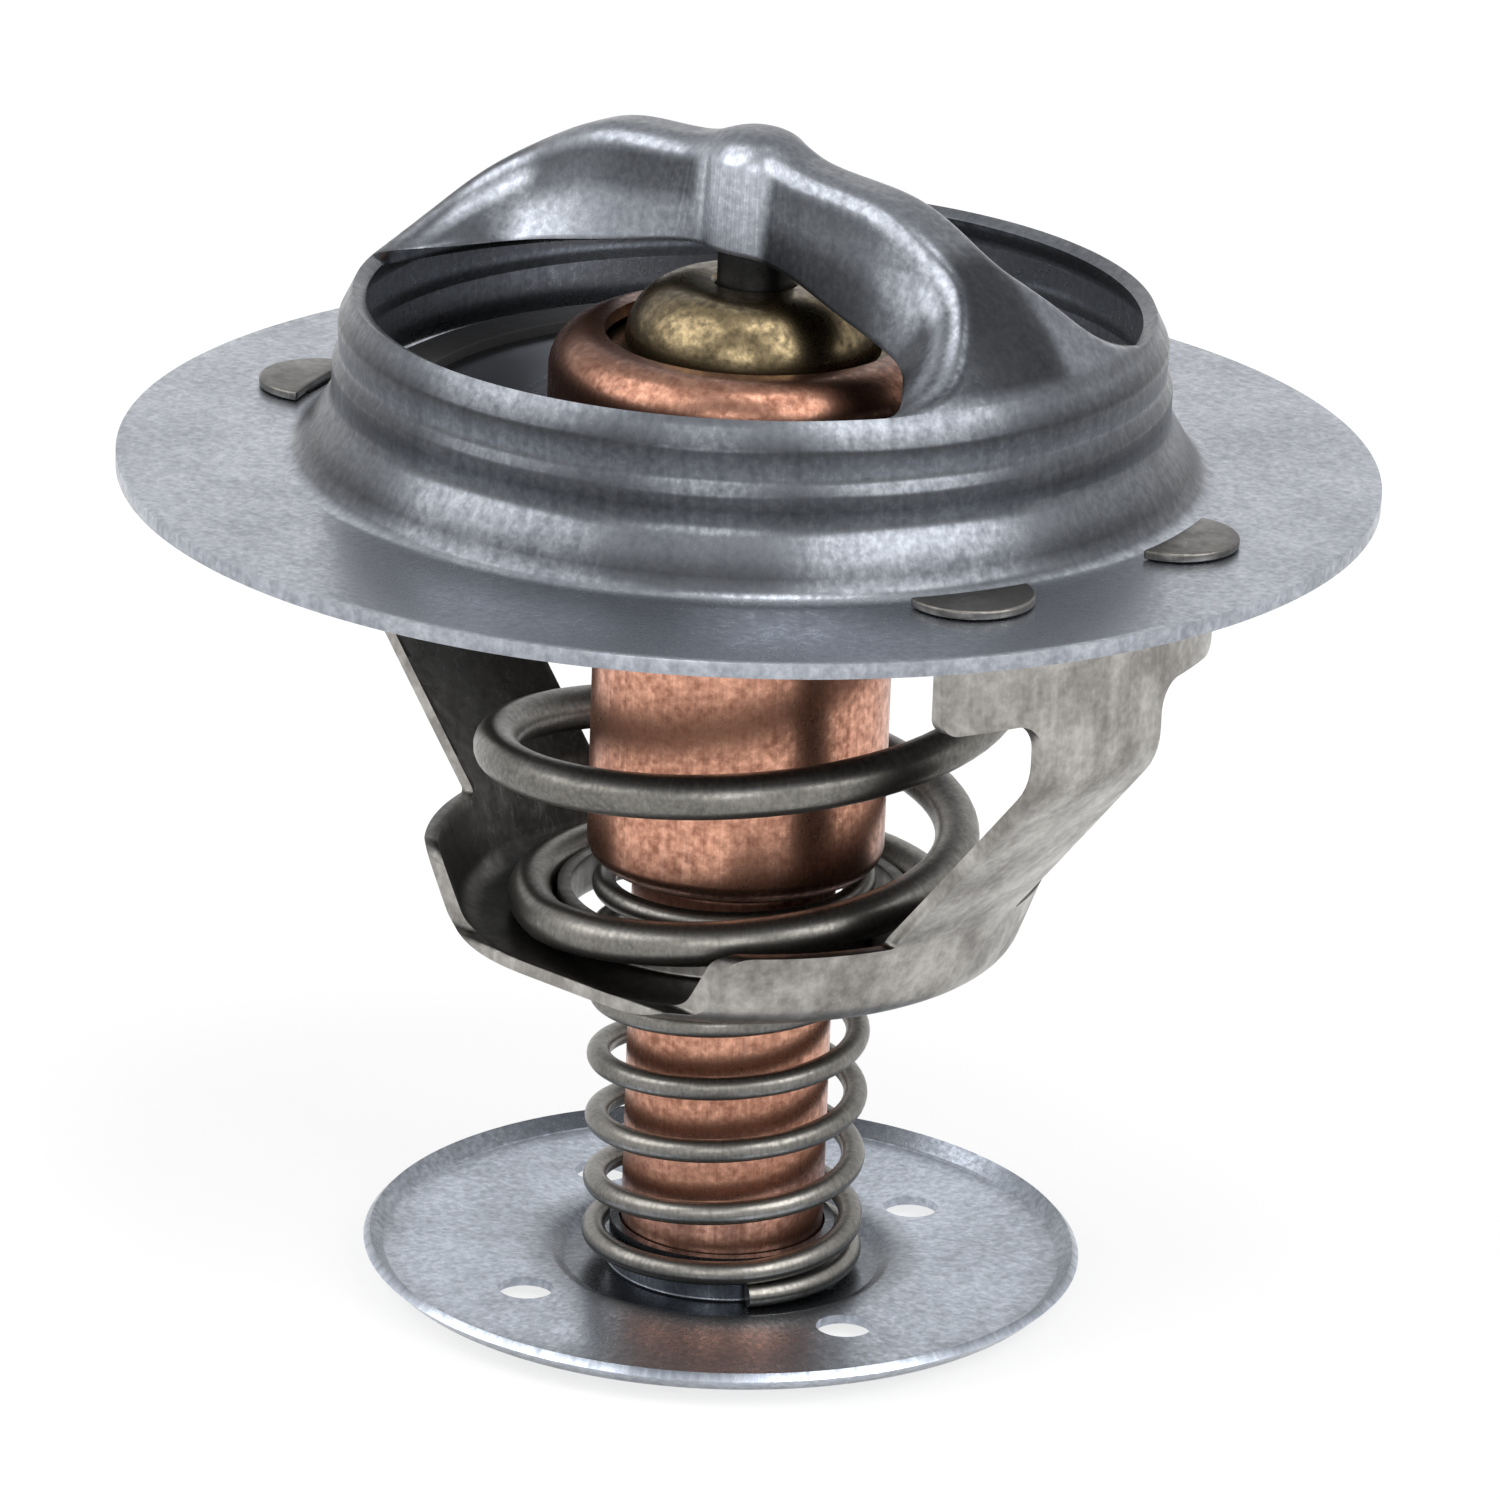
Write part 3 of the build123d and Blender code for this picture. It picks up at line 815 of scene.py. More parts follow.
def coil_tree() -> bpy.types.NodeTree:
    """Build the geometry nodes that wind a spring from its sizes.

    Returns:
        The node tree, with all its lengths in metres.
    """
    number = "NodeSocketFloat"
    inputs = {
        "Foot Radius": (number, 0.01),
        "Head Radius": (number, 0.01),
        "Foot Height": (number, 0.0),
        "Head Height": (number, 0.02),
        "Foot Turns": (number, 1.0),
        "Head Turns": (number, 1.0),
        "Live Turns": (number, 3.0),
        "Dead Pitch": (number, 0.001),
        "Start Angle": (number, 0.0),
        "Wire Radius": (number, 0.001),
        "Steps": ("NodeSocketInt", 200),
        "Sides": ("NodeSocketInt", 24),
        "Material": ("NodeSocketMaterial", None),
    }
    outputs = {"Geometry": "NodeSocketGeometry"}
    tree, graph = group_with("wind_coil", "GeometryNodeTree", inputs, outputs)
    source = graph.add("NodeGroupInput").outputs
    index = graph.add("GeometryNodeInputIndex").outputs[0]
    last = graph.math("SUBTRACT", source["Steps"], 1.0)
    dead = graph.math("ADD", source["Foot Turns"], source["Head Turns"])
    total = graph.math("ADD", dead, source["Live Turns"])
    turn = graph.math("MULTIPLY", graph.math("DIVIDE", index, last), total)
    live = graph.math("MAXIMUM", graph.math("SUBTRACT", turn, source["Foot Turns"]), 0.0)
    live = graph.math("MINIMUM", live, source["Live Turns"])
    share = graph.math("DIVIDE", live, source["Live Turns"])
    rise = graph.math("SUBTRACT", source["Head Height"], source["Foot Height"])
    rise = graph.math("SUBTRACT", rise, graph.math("MULTIPLY", source["Dead Pitch"], dead))
    still = graph.math("MULTIPLY", source["Dead Pitch"], graph.math("SUBTRACT", turn, live))
    lift = graph.math("ADD", still, graph.math("MULTIPLY", rise, share))
    height = graph.math("ADD", source["Foot Height"], lift)
    spread = graph.math("SUBTRACT", source["Head Radius"], source["Foot Radius"])
    radius = graph.math("ADD", source["Foot Radius"], graph.math("MULTIPLY", spread, share))
    angle = graph.math("ADD", source["Start Angle"], graph.math("MULTIPLY", turn, 2 * math.pi))
    across = graph.math("MULTIPLY", radius, graph.math("COSINE", angle))
    deep = graph.math("MULTIPLY", radius, graph.math("SINE", angle))
    place = graph.add("ShaderNodeCombineXYZ", {0: across, 1: deep, 2: height}).outputs[0]
    line = graph.add("GeometryNodeMeshLine", {"Count": source["Steps"]})
    curve = graph.add("GeometryNodeMeshToCurve", {"Mesh": line.outputs[0]})
    wound = graph.add("GeometryNodeSetPosition", {"Geometry": curve.outputs[0], "Position": place})
    inputs = {"Geometry": wound.outputs[0], "Name": "coil_share", "Value": share}
    marked = graph.add("GeometryNodeStoreNamedAttribute", inputs, data_type="FLOAT", domain="POINT")
    inputs = {"Resolution": source["Sides"], "Radius": source["Wire Radius"]}
    ring = graph.add("GeometryNodeCurvePrimitiveCircle", inputs)
    inputs = {"Curve": marked.outputs[0], "Profile Curve": ring.outputs[0], "Fill Caps": True}
    wire = graph.add("GeometryNodeCurveToMesh", inputs)
    smooth = graph.add("GeometryNodeSetShadeSmooth", {"Geometry": wire.outputs[0]})
    graph.dressed(smooth.outputs[0], source["Material"])
    return tree


def punch_tree() -> bpy.types.NodeTree:
    """Build the geometry nodes that punch a ring of holes or slots through a sheet.

    Returns:
        The node tree, with all its lengths in metres.
    """
    inputs = {
        "Geometry": ("NodeSocketGeometry", None),
        "Count": ("NodeSocketInt", 4),
        "Circle Radius": ("NodeSocketFloat", 0.01),
        "Start Angle": ("NodeSocketFloat", 0.0),
        "Step Angle": ("NodeSocketFloat", 1.5708),
        "Height": ("NodeSocketFloat", 0.0),
        "Punch Size": ("NodeSocketVector", (0.001, 0.001, 0.001)),
        "Round": ("NodeSocketBool", True),
        "Material": ("NodeSocketMaterial", None),
    }
    outputs = {"Geometry": "NodeSocketGeometry"}
    tree, graph = group_with("punch_ring", "GeometryNodeTree", inputs, outputs)
    source = graph.add("NodeGroupInput").outputs
    index = graph.add("GeometryNodeInputIndex").outputs[0]
    steps = graph.math("MULTIPLY", index, source["Step Angle"])
    angle = graph.math("ADD", source["Start Angle"], steps)
    across = graph.math("MULTIPLY", source["Circle Radius"], graph.math("COSINE", angle))
    deep = graph.math("MULTIPLY", source["Circle Radius"], graph.math("SINE", angle))
    place = graph.add("ShaderNodeCombineXYZ", {0: across, 1: deep, 2: source["Height"]})
    spots = graph.add("GeometryNodePoints", {"Count": source["Count"], "Position": place.outputs[0]})
    drill = graph.add("GeometryNodeMeshCylinder", {"Vertices": 48, "Radius": 0.5, "Depth": 1.0})
    box = graph.add("GeometryNodeMeshCube", {"Size": (1.0, 1.0, 1.0)})
    inputs = {"Switch": source["Round"], "False": box.outputs[0], "True": drill.outputs[0]}
    chosen = graph.add("GeometryNodeSwitch", inputs, input_type="GEOMETRY")
    inputs = {
        "Points": spots.outputs[0],
        "Instance": chosen.outputs[0],
        "Rotation": graph.add("ShaderNodeCombineXYZ", {2: angle}).outputs[0],
        "Scale": source["Punch Size"],
    }
    copies = graph.add("GeometryNodeInstanceOnPoints", inputs)
    solid = graph.add("GeometryNodeRealizeInstances", {"Geometry": copies.outputs[0]})
    inputs = {"Mesh 1": source["Geometry"], "Mesh 2": solid.outputs[0]}
    holed = graph.add("GeometryNodeMeshBoolean", inputs, operation="DIFFERENCE", solver="EXACT")
    graph.dressed(holed.outputs[0], source["Material"])
    return tree


def run_tree(piece: bpy.types.Object, name: str, values: dict[str, Input]) -> None:
    """Run a geometry node tree on an object and keep its plain mesh.

    Args:
        piece: The object that carries the tree.
        name: The tree's name.
        values: Input names with their values.
    """
    tree = bpy.data.node_groups[name]
    step = piece.modifiers.new(name, "NODES")
    step.node_group = tree
    for item in tree.interface.items_tree:
        if item.item_type == "SOCKET" and item.in_out == "INPUT" and item.name in values:
            step[item.identifier] = values[item.name]
    apply_modifiers(piece)


class Assembly:
    """What every sub-assembly shares: finishes, sizes, and how a piece is handed to the frame."""

    body = "housing"

    def __init__(self, finishes: Finishes, sizes: object = None) -> None:
        """Keep finishes and sizes."""
        self.finishes = finishes
        self.sizes = sizes

    def hand_over(self, piece: bpy.types.Object, node: str, slot: str, ride: bool = True) -> None:
        """Let a piece stand for its node and ride on its body.

        Args:
            piece: The finished piece.
            node: The CAD node that it replaces.
            slot: The record's material slot; not used.
            ride: Whether it rides as a rigid piece.
        """
        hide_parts(node)
        if ride:
            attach(piece, self.body)
        LOG.info("%s: %d faces, stands for %s", piece.name, len(piece.data.polygons), node)


@dataclass
class HousingSizes:
    """Sizes of the pressed housing."""

    gauge: float = 0.8
    flange_r: float = 33.5
    foot_r: float = 24.1
    flare_r: float = 22.2
    flare_z: float = 3.2
    step_z: float = 5.3
    step: float = 0.35
    step_height: float = 0.8
    top_r: float = 21.95
    turn_z: float = 7.2
    rim_r: float = 21.2
    rim_z: float = 8.75
    foot_fillet: float = 1.3
    flare_fillet: float = 1.5
    fillet: float = 0.9
    segments: int = 384
    foot_columns: int = 30
    rows: int = 100
    row_bias: float = 0.4
    end_pull: int = 12
    crown: tuple[Point, ...] = (
        (0.0, 18.05), (1.6, 17.9), (3.2, 17.3), (4.9, 16.95), (7.75, 16.75), (10.6, 16.35),
        (14.2, 14.8), (18.4, 11.9), (21.2, 8.75),
    )
    roof_half: tuple[Point, ...] = (
        (0.0, 1.9), (4.0, 1.75), (8.0, 1.6), (12.6, 1.6), (15.0, 1.95), (16.4, 3.3), (17.9, 6.0),
    )
    foot_half: tuple[Point, ...] = (
        (0.0, 2.3), (4.0, 2.3), (8.0, 3.1), (12.6, 4.0), (15.0, 5.0), (16.4, 6.6), (17.9, 8.6),
    )
    lower_edge: tuple[Point, ...] = ((0.0, 11.9), (8.0, 10.8), (12.6, 9.9), (16.2, 9.05))
    edge_fillet: float = 1.4
    corner_width: float = 0.9
    hub_foot_r: float = 2.85
    hub_top_r: float = 2.6
    hub_blend: float = 0.3
    pocket_r: float = 2.1
    pocket_top_z: float = 17.15
    edge_round: float = 0.12
    # Painted light: painted reflection bands round the collar by height, painted shade and highlights on the
    # arms and the fan by depth under the crown, a painted highlight on the hub, and painted shade on faces
    # turned away
    painted_levels: tuple[Point, ...] = (
        (-0.8, 0.9), (0.0, 1.0), (0.3, 0.3), (1.15, 0.12), (2.0, 0.28), (2.75, 0.36),
        (4.2, 0.13), (5.3, 0.22), (5.95, 0.36), (7.3, 0.13), (8.2, 0.32), (8.75, 0.5),
    )
    far_arm_light: tuple[Point, ...] = (
        (0.0, 0.45), (0.3, 0.5), (0.7, 0.6), (1.3, 0.2), (2.8, 0.25), (3.8, 0.6), (5.5, 0.7),
    )
    near_arm_light: tuple[Point, ...] = (
        (0.0, 0.4), (0.3, 0.45), (0.7, 0.5), (1.3, 0.26), (2.8, 0.3), (4.0, 0.13), (5.5, 0.1),
    )
    fan_light: tuple[Point, ...] = (
        (0.0, 0.1), (0.2, 0.16), (0.6, 0.7), (1.1, 0.22), (1.8, 0.6), (2.6, 0.16), (5.0, 0.2),
    )
    fan_start: Point = (13.5, 15.5)
    hub_highlight_reach: Point = (-3.6, -2.8)
    bore_tone: float = 1.0
    rim_shade: float = 0.3
    hub_highlight: float = 1.2
    turned_away_shade: float = 0.2
    slot_r: float = 25.65
    slot_width: float = 1.1
    slot_length: float = 3.2


class Housing(Assembly):
    """Flange, collar and bridge, drawn in one piece from sheet."""

    sizes: HousingSizes

    def collar_path(self) -> list[Point]:
        """Give the outer face of flange and collar.

        Returns:
            (radius, height) points from the flange's edge to the rim.
        """
        s = self.sizes
        corners = [
            (s.flange_r, 0.0), (s.foot_r, 0.0), (s.flare_r, s.flare_z),
            (s.flare_r, s.step_z - s.step_height / 2),
            (s.flare_r - s.step, s.step_z + s.step_height / 2), (s.top_r, s.turn_z),
            (s.rim_r, s.rim_z),
        ]
        radii = (s.foot_fillet, s.flare_fillet, s.fillet, s.fillet, s.fillet)
        return divided(rounded(corners, radii, 6.0), 0.6)

    def bridge_section(self, foot: float, roof: float, rise: float) -> np.ndarray:
        """Give one cross-section of an arm: two leaning walls and a roof with rounded edges.

        Args:
            foot: Half width at the lower edge.
            roof: Half width at the roof.
            rise: Height of the roof over the lower edge.

        Returns:
            An array of points, each with its place across and its share of the height.
        """
        fillet = min(self.sizes.edge_fillet, 0.45 * rise, 0.8 * roof)
        corners = [(-foot, 0.0), (-roof, rise), (roof, rise), (foot, 0.0)]
        line = np.array(divided(rounded(corners, (fillet, fillet), 9.0), 0.15))
        line[:, 1] /= rise
        return line

    def bridge_rows(self) -> np.ndarray:
        """Give the bridge's outer face as rows from one foot to the other.

        Returns:
            An array of rows, columns and coordinates, in millimetres.
        """
        s = self.sizes
        turn = math.radians(360 / s.segments * s.foot_columns)
        reach = s.rim_r * math.cos(turn)
        toe = s.rim_r * math.sin(turn)
        roofs = SmoothCurve([*s.roof_half, (reach, toe - s.corner_width)])
        feet = SmoothCurve([*s.foot_half, (reach, toe)])
        edges = SmoothCurve([*s.lower_edge, (reach, s.rim_z)])
        crown = SmoothCurve(s.crown)
        columns = 2 * s.foot_columns + 1
        rows = []
        for step in range(s.rows + 1):
            share = step / s.rows
            # The rows stand closer together near the hub
            along = s.rim_r * ((1 - s.row_bias) * share + s.row_bias * share**2)
            end = (along / s.rim_r) ** 3
            side = along - (s.rim_r - reach) * end
            low, foot, roof = (float(curve(np.array(side))) for curve in (edges, feet, roofs))
            section = self.bridge_section(foot, roof, max(float(crown(np.array(along))) - low, 0.05))
            y, height = section.T
            x = side + (along - side) * (1 - np.clip(y / foot, -1, 1) ** 2)
            # The hub's tube stands out of both walls
            wall = foot + (roof - foot) * height
            tube = s.hub_foot_r + (s.hub_top_r - s.hub_foot_r) * height
            bulge = np.sqrt(np.clip(tube**2 - x**2, 0.0, None))
            wide = (wall + bulge + np.sqrt((wall - bulge) ** 2 + s.hub_blend**2)) / 2
            y = y * np.where(x < s.hub_foot_r + 2 * s.hub_blend, wide / wall, 1.0)
            pull = 1 + (s.rim_r / np.maximum(np.hypot(x, y), 1.0) - 1) * (along / s.rim_r) ** s.end_pull
            x, y = x * pull, y * pull
            z = low + (crown(np.hypot(x, y)) - low) * height
            if step == s.rows:
                z = np.full_like(z, s.rim_z)
                turns = np.linspace(-turn, turn, len(z))
                x, y = s.rim_r * np.cos(turns), s.rim_r * np.sin(turns)
            line = np.stack([x, y, z], axis=1)
            length = np.concatenate([[0], np.cumsum(np.linalg.norm(np.diff(line, axis=0), axis=1))])
            places = np.linspace(0, length[-1], columns)
            rows.append(np.stack([np.interp(places, length, line[:, k]) for k in range(3)], axis=1))
        half = np.array(rows)
        return np.concatenate([half[:0:-1] * (-1.0, 1.0, 1.0), half])

    def pocket(self) -> bpy.types.Object:
        """Make the cutter for the bore that holds the piston's head.

        Returns:
            The cutter.
        """
        s = self.sizes
        section = [(0.0, s.pocket_top_z), (s.pocket_r, s.pocket_top_z), (s.pocket_r, s.rim_z), (0.0, s.rim_z)]
        return lathe("pocket", section, self.finishes.get(Finishes.PRESSED), 96)

    def painted_levels(self, spots: np.ndarray, facing: np.ndarray) -> np.ndarray:
        """Give the pressing's painted light: painted reflection bands round the collar, painted shade on the
        upright walls and on faces turned away, and painted highlights on the bends, along a crease in the fan
        and on the hub.

        Args:
            spots: Places in millimetres.
            facing: The directions that they face.

        Returns:
            The brightness at each place.
        """
        s = self.sizes
        y, z = spots[:, 1], spots[:, 2]
        r, outward = reach_and_lean(spots, facing)
        # Painted reflection bands round the collar by height, and a painted dark band on the rim
        collar = np.interp(z, *zip(*s.painted_levels))
        collar = np.where((r < s.foot_r) & (outward < -0.25), s.bore_tone, collar)
        collar = np.where((r < s.rim_r + 0.15) & (z > s.turn_z), s.rim_shade, collar)
        depth = SmoothCurve(s.crown)(r) - z
        # Painted shade and highlights on the arms by depth under the crown, darker on the near arm
        near, far = (np.interp(depth, *zip(*painted_levels)) for painted_levels in (s.near_arm_light, s.far_arm_light))
        arm = np.where(spots[:, 0] > 0, near, far)
        # A painted highlight along a crease in the fan
        fan = np.interp(depth + 0.45 * blend(y, 0.5, 2.5), *zip(*s.fan_light))
        bridge = arm + (fan - arm) * blend(r, *s.fan_start)
        # A painted highlight on the hub
        bridge += (s.hub_highlight - bridge) * blend(-r, *s.hub_highlight_reach) * blend(depth, 0.2, 1.2)
        # Painted shade on faces turned down or inward
        turned_away = (facing[:, 2] < -0.3) | (facing[:, 1] * np.sign(y) < -0.3) & (depth > 0.4)
        bridge = np.where(turned_away, s.turned_away_shade, bridge)
        raised = blend(z, s.rim_z, s.rim_z + 0.7) * (r < s.rim_r)
        return collar + (bridge - collar) * raised

    def build(self) -> None:
        """Build the pressing: its outer face first, then the gauge, the pocket and the slots."""
        s = self.sizes
        path = self.collar_path()
        rows = self.bridge_rows()
        collar = turned_points(path, s.segments)
        points = np.concatenate([collar, rows.reshape(-1, 3)])
        faces = grid_faces(s.segments, len(path), True, False)
        faces += grid_faces(*rows.shape[:2], False, False, len(collar))
        steel = self.finishes.get(Finishes.PRESSED)
        piece = mesh_object("housing_pressing", points, faces, steel)
        up = sum(p.normal.z * p.area for p in piece.data.polygons)
        if up < 0:
            piece.data.flip_normals()
        thick = piece.modifiers.new("gauge", "SOLIDIFY")
        thick.thickness = s.gauge * MM
        thick.offset = -1.0
        thick.use_even_offset = True
        apply_modifiers(piece)
        soften(piece, s.edge_round)
        cut(piece, self.pocket(), "DIFFERENCE")
        for slot_deg in SLOTS_DEG:
            values = {
                "Count": 2,
                "Circle Radius": s.slot_r * MM,
                "Start Angle": math.radians(slot_deg),
                "Step Angle": math.radians(180 - 2 * slot_deg),
                "Height": -s.gauge / 2 * MM,
                "Punch Size": (s.slot_width * MM, s.slot_length * MM, 4 * s.gauge * MM),
                "Round": False,
                "Material": steel,
            }
            run_tree(piece, "punch_ring", values)
        shade(piece)
        tone(piece, self.painted_levels)
        self.hand_over(piece, "housing", "housing_steel")


@dataclass
class FrameSizes:
    """Sizes of the stamped frame."""

    gauge: float = 0.7
    band_r: float = 26.0
    band_top_z: float = -0.85
    bend_z: float = -10.9
    cup_rim_r: float = 16.7
    cup_rim_z: float = -22.1
    cup_foot_r: float = 15.0
    floor_z: float = -26.8
    hole_r: float = 8.8
    lip: float = 2.6
    bend_fillet: float = 4.0
    foot_fillet: float = 1.2
    cup_fillet: float = 2.2
    fillet: float = 0.9
    band_half: float = 10.4
    band_foot_z: float = -7.0
    leg_half: float = 4.65
    wall_half: float = 12.2
    floor_half: float = 13.2
    floor_step_z: float = -25.95
    step_fillet: float = 0.3
    window_fillet: float = 1.6
    tongue_foot_z: float = 0.05
    tongue_gauge: float = 0.5
    tongue_half: float = 3.35
    tongue_reach: float = 28.6
    stem_half: float = 1.4
    edge_round: float = 0.1
    tongue_round: float = 0.14
    tongue_tone: float = 0.38
    # Painted shade on faces turned in or up, and how much lighter it is towards the sides near the top
    inner_shade: float = 0.78
    leg_edge_light: float = 0.35


class Frame(Assembly):
    """Cup, legs, bands and tongues, stamped and drawn in one piece."""

    sizes: FrameSizes

    def outline(self) -> list[Point]:
        """Give the outline that the turned sheet is trimmed to, seen along the legs.

        Returns:
            The closed outline, as (place across, height).
        """
        s = self.sizes
        corners = [
            (s.band_half, s.band_top_z + s.gauge), (s.band_half, s.band_foot_z),
            (s.leg_half, s.band_foot_z), (s.leg_half, s.cup_rim_z), (s.wall_half, s.cup_rim_z),
            (s.wall_half, s.floor_step_z), (s.floor_half, s.floor_step_z),
            (s.floor_half, s.floor_z - s.gauge),
        ]
        radii = (s.fillet, s.window_fillet, s.step_fillet, s.fillet, s.step_fillet, s.step_fillet)
        half = rounded(corners, radii)
        return half + [(-y, z) for y, z in reversed(half)]

    def prism(
        self, name: str, outline: Sequence[Point], low: float, high: float, lying: bool = False
    ) -> bpy.types.Object:
        """Raise a flat outline into a prism.

        Args:
            name: The object's name.
            outline: Its closed outline, seen from above, or along X for a lying one.
            low: Where it starts.
            high: Where it ends.
            lying: Whether it runs along X instead of Z.

        Returns:
            The prism.
        """
        count = len(outline)
        points = np.array([(*spot, level) for level in (low, high) for spot in outline])
        faces = [(i, (i + 1) % count, count + (i + 1) % count, count + i) for i in range(count)]
        faces += [tuple(range(count)), tuple(range(2 * count - 1, count - 1, -1))]
        points = np.roll(points, 1, axis=1) if lying else points
        return mesh_object(name, points, faces, self.finishes.get(Finishes.STAMPED))

    def tongue(self, turn_deg: float) -> bpy.types.Object:
        """Make one tongue, whose head is staked flat over the flange.

        Args:
            turn_deg: Where it stands round the axis.

        Returns:
            The tongue.
        """
        s = self.sizes
        inner = s.band_r - s.gauge
        centre = s.tongue_reach - s.tongue_half
        # The head is a lens between its own circle and the slot's inner side
        meet = (centre**2 + inner**2 - s.tongue_half**2) / (2 * centre)
        sweep = math.atan2(math.sqrt(inner**2 - meet**2), meet)
        spread = math.atan2(inner * math.sin(sweep), inner * math.cos(sweep) - centre)
        lens = arc(s.tongue_half, -spread, spread, 41, centre) + arc(inner, sweep, -sweep, 15)[1:-1]
        half = s.stem_half / s.band_r
        stem = arc(s.band_r, -half, half, 7) + arc(inner, half, -half, 7)
        turn = math.radians(turn_deg)
        turned = np.array([(math.cos(turn), math.sin(turn)), (-math.sin(turn), math.cos(turn))])
        lens, stem = (np.array(ring) @ turned for ring in (lens, stem))
        head = self.prism("tongue", lens, s.tongue_foot_z, s.tongue_foot_z + s.tongue_gauge)
        soften(head, s.tongue_round, 3)
        middle = s.tongue_foot_z + s.tongue_gauge / 2
        cut(head, self.prism("stem", stem, s.band_top_z - s.gauge, middle), "UNION")
        return head

    def build(self) -> None:
        """Build the stamping: the turned sheet, trimmed, with its tongues."""
        s = self.sizes
        corners = [
            (s.band_r, s.band_top_z), (s.band_r, s.bend_z), (s.cup_rim_r, s.cup_rim_z),
            (s.cup_foot_r, s.floor_z), (s.hole_r, s.floor_z), (s.hole_r, s.floor_z + s.lip),
        ]
        radii = (s.bend_fillet, s.foot_fillet, s.cup_fillet, s.fillet)
        path = divided(rounded(corners, radii), 0.8)
        section = sheet_section(path, -s.gauge)
        piece = lathe("frame_stamping", section, self.finishes.get(Finishes.STAMPED), 256)
        reach = s.band_r + 1
        cut(piece, self.prism("blank", self.outline(), -reach, reach, lying=True), "INTERSECT")
        soften(piece, s.edge_round)
        for turn_deg in (*SLOTS_DEG, *(180 - slot_deg for slot_deg in reversed(SLOTS_DEG))):
            cut(piece, self.tongue(turn_deg), "UNION")
        shade(piece)
        tone(piece, self.painted_levels)
        self.hand_over(piece, "frame", "frame_steel")

    def painted_levels(self, spots: np.ndarray, facing: np.ndarray) -> np.ndarray:
        """Give the stamping's brightness: darker tongues, an outside left as it is, and painted shade on the
        inside, lighter towards the sides near the top.

        Args:
            spots: Places in millimetres.
            facing: The directions that they face.

        Returns:
            The brightness at each place.
        """
        s = self.sizes
        y, z = spots[:, 1], spots[:, 2]
        outward = reach_and_lean(spots, facing)[1]
        # Faces turned in or up get painted shade, lighter towards the sides near the top
        inner = blend(np.maximum(-outward, facing[:, 2]), 0.1, 0.6)
        inside_shade = s.inner_shade - s.leg_edge_light * blend(np.abs(y), 2.0, 5.0) * blend(z, -16.0, -12.0)
        return np.where(z > 0, s.tongue_tone, 1.0 - inside_shade * inner)


@dataclass
class CapsuleSizes:
    """Sizes of the copper capsule, the guide and the piston."""

    wall: float = 0.7
    head_r: float = 10.8
    head_floor_z: float = 2.0
    head_top_z: float = 7.0
    lip_r: float = 7.9
    head_round: float = 2.2
    barrel_r: float = 8.0
    barrel_foot_z: float = -22.6
    stem_r: float = 5.5
    stem_foot_z: float = -46.3
    piston_r: float = 2.05
    piston_foot_z: float = -18.0
    piston_head_z: float = 17.1
    dome_r: float = 6.8
    dome_top_z: float = 9.8
    dome_crown_r: float = 3.2
    guide_foot_z: float = -9.0
    gap: float = 0.05
    bends: tuple[float, ...] = (0.8, 0.8, 1.2, 0.2, 0.9)
    dome_power: float = 0.9
    shoulder_drop: float = 0.3
    mouth_bevel: float = 0.25
    pin_chamfer: float = 0.5
    # Brightness up the capsule: painted shade at the stem's foot and at the shoulder's bend, and a darker
    # head
    capsule_darkening: tuple[float, ...] = (0.35, 0.55, 0.9, 0.9, 0.35, 0.5, 1.0, 1.0, 0.38)


class WaxElement(Assembly):
    """The copper capsule with its guide."""

    body = "element"
    sizes: CapsuleSizes

    def capsule(self) -> None:
        """Build the drawn capsule with its rolled head."""
        s = self.sizes
        corners = [
            (0.0, s.stem_foot_z), (s.stem_r, s.stem_foot_z), (s.stem_r, s.barrel_foot_z),
            (s.barrel_r, s.barrel_foot_z), (s.barrel_r, s.head_floor_z), (s.head_r, s.head_floor_z),
            (s.head_r, s.head_top_z), (s.lip_r, s.head_top_z),
        ]
        path = divided(rounded(corners, (*s.bends, s.head_round), 6.0), 1.0)
        piece = lathe("capsule_cup", sheet_section(path, s.wall), self.finishes.get(Finishes.COPPER))
        tone(piece, self.painted_levels)
        self.hand_over(piece, "capsule", "copper")

    def painted_levels(self, spots: np.ndarray, facing: np.ndarray) -> np.ndarray:
        """Give the capsule's brightness: a darker head, and painted shade at the stem's foot and at the
        shoulder's bend.

        Args:
            spots: Places in millimetres.
            facing: The directions that they face.

        Returns:
            The brightness at each place.
        """
        s = self.sizes
        heights = [s.stem_foot_z + lift for lift in (0.0, 3.0, 7.0)]
        heights += [s.barrel_foot_z + lift for lift in (-1.5, 0.0, 1.2, 3.0)]
        return np.interp(spots[:, 2], [*heights, s.head_floor_z - 3.0, s.head_floor_z], s.capsule_darkening)

    def guide(self) -> None:
        """Build the domed guide."""
        s = self.sizes
        top = s.head_top_z - s.wall - s.gap
        flange = s.head_r - s.wall - s.gap
        barrel = s.barrel_r - s.wall - s.gap
        floor = s.head_floor_z + s.wall + s.gap
        bore = s.piston_r + s.gap
        span, rise = s.dome_r - s.dome_crown_r, s.dome_top_z - top
        quarter = arc(1.0, 0.0, math.pi / 2, 17)
        dome = [(s.dome_crown_r + span * x**s.dome_power, top + rise * z**s.dome_power) for x, z in quarter]
        section = [
            (bore, s.guide_foot_z), (barrel, s.guide_foot_z), (barrel, floor), (flange, floor),
            (flange, top - s.head_round), (flange - s.head_round, top - s.shoulder_drop), *dome,
            (bore + s.mouth_bevel, s.dome_top_z), (bore, s.dome_top_z - s.mouth_bevel),
        ]
        piece = lathe("guide_dome", section, self.finishes.get(Finishes.BRASS))
        self.hand_over(piece, "guide", "brass")

    def build(self) -> None:
        """Build the element's shown pieces."""
        self.capsule()
        self.guide()


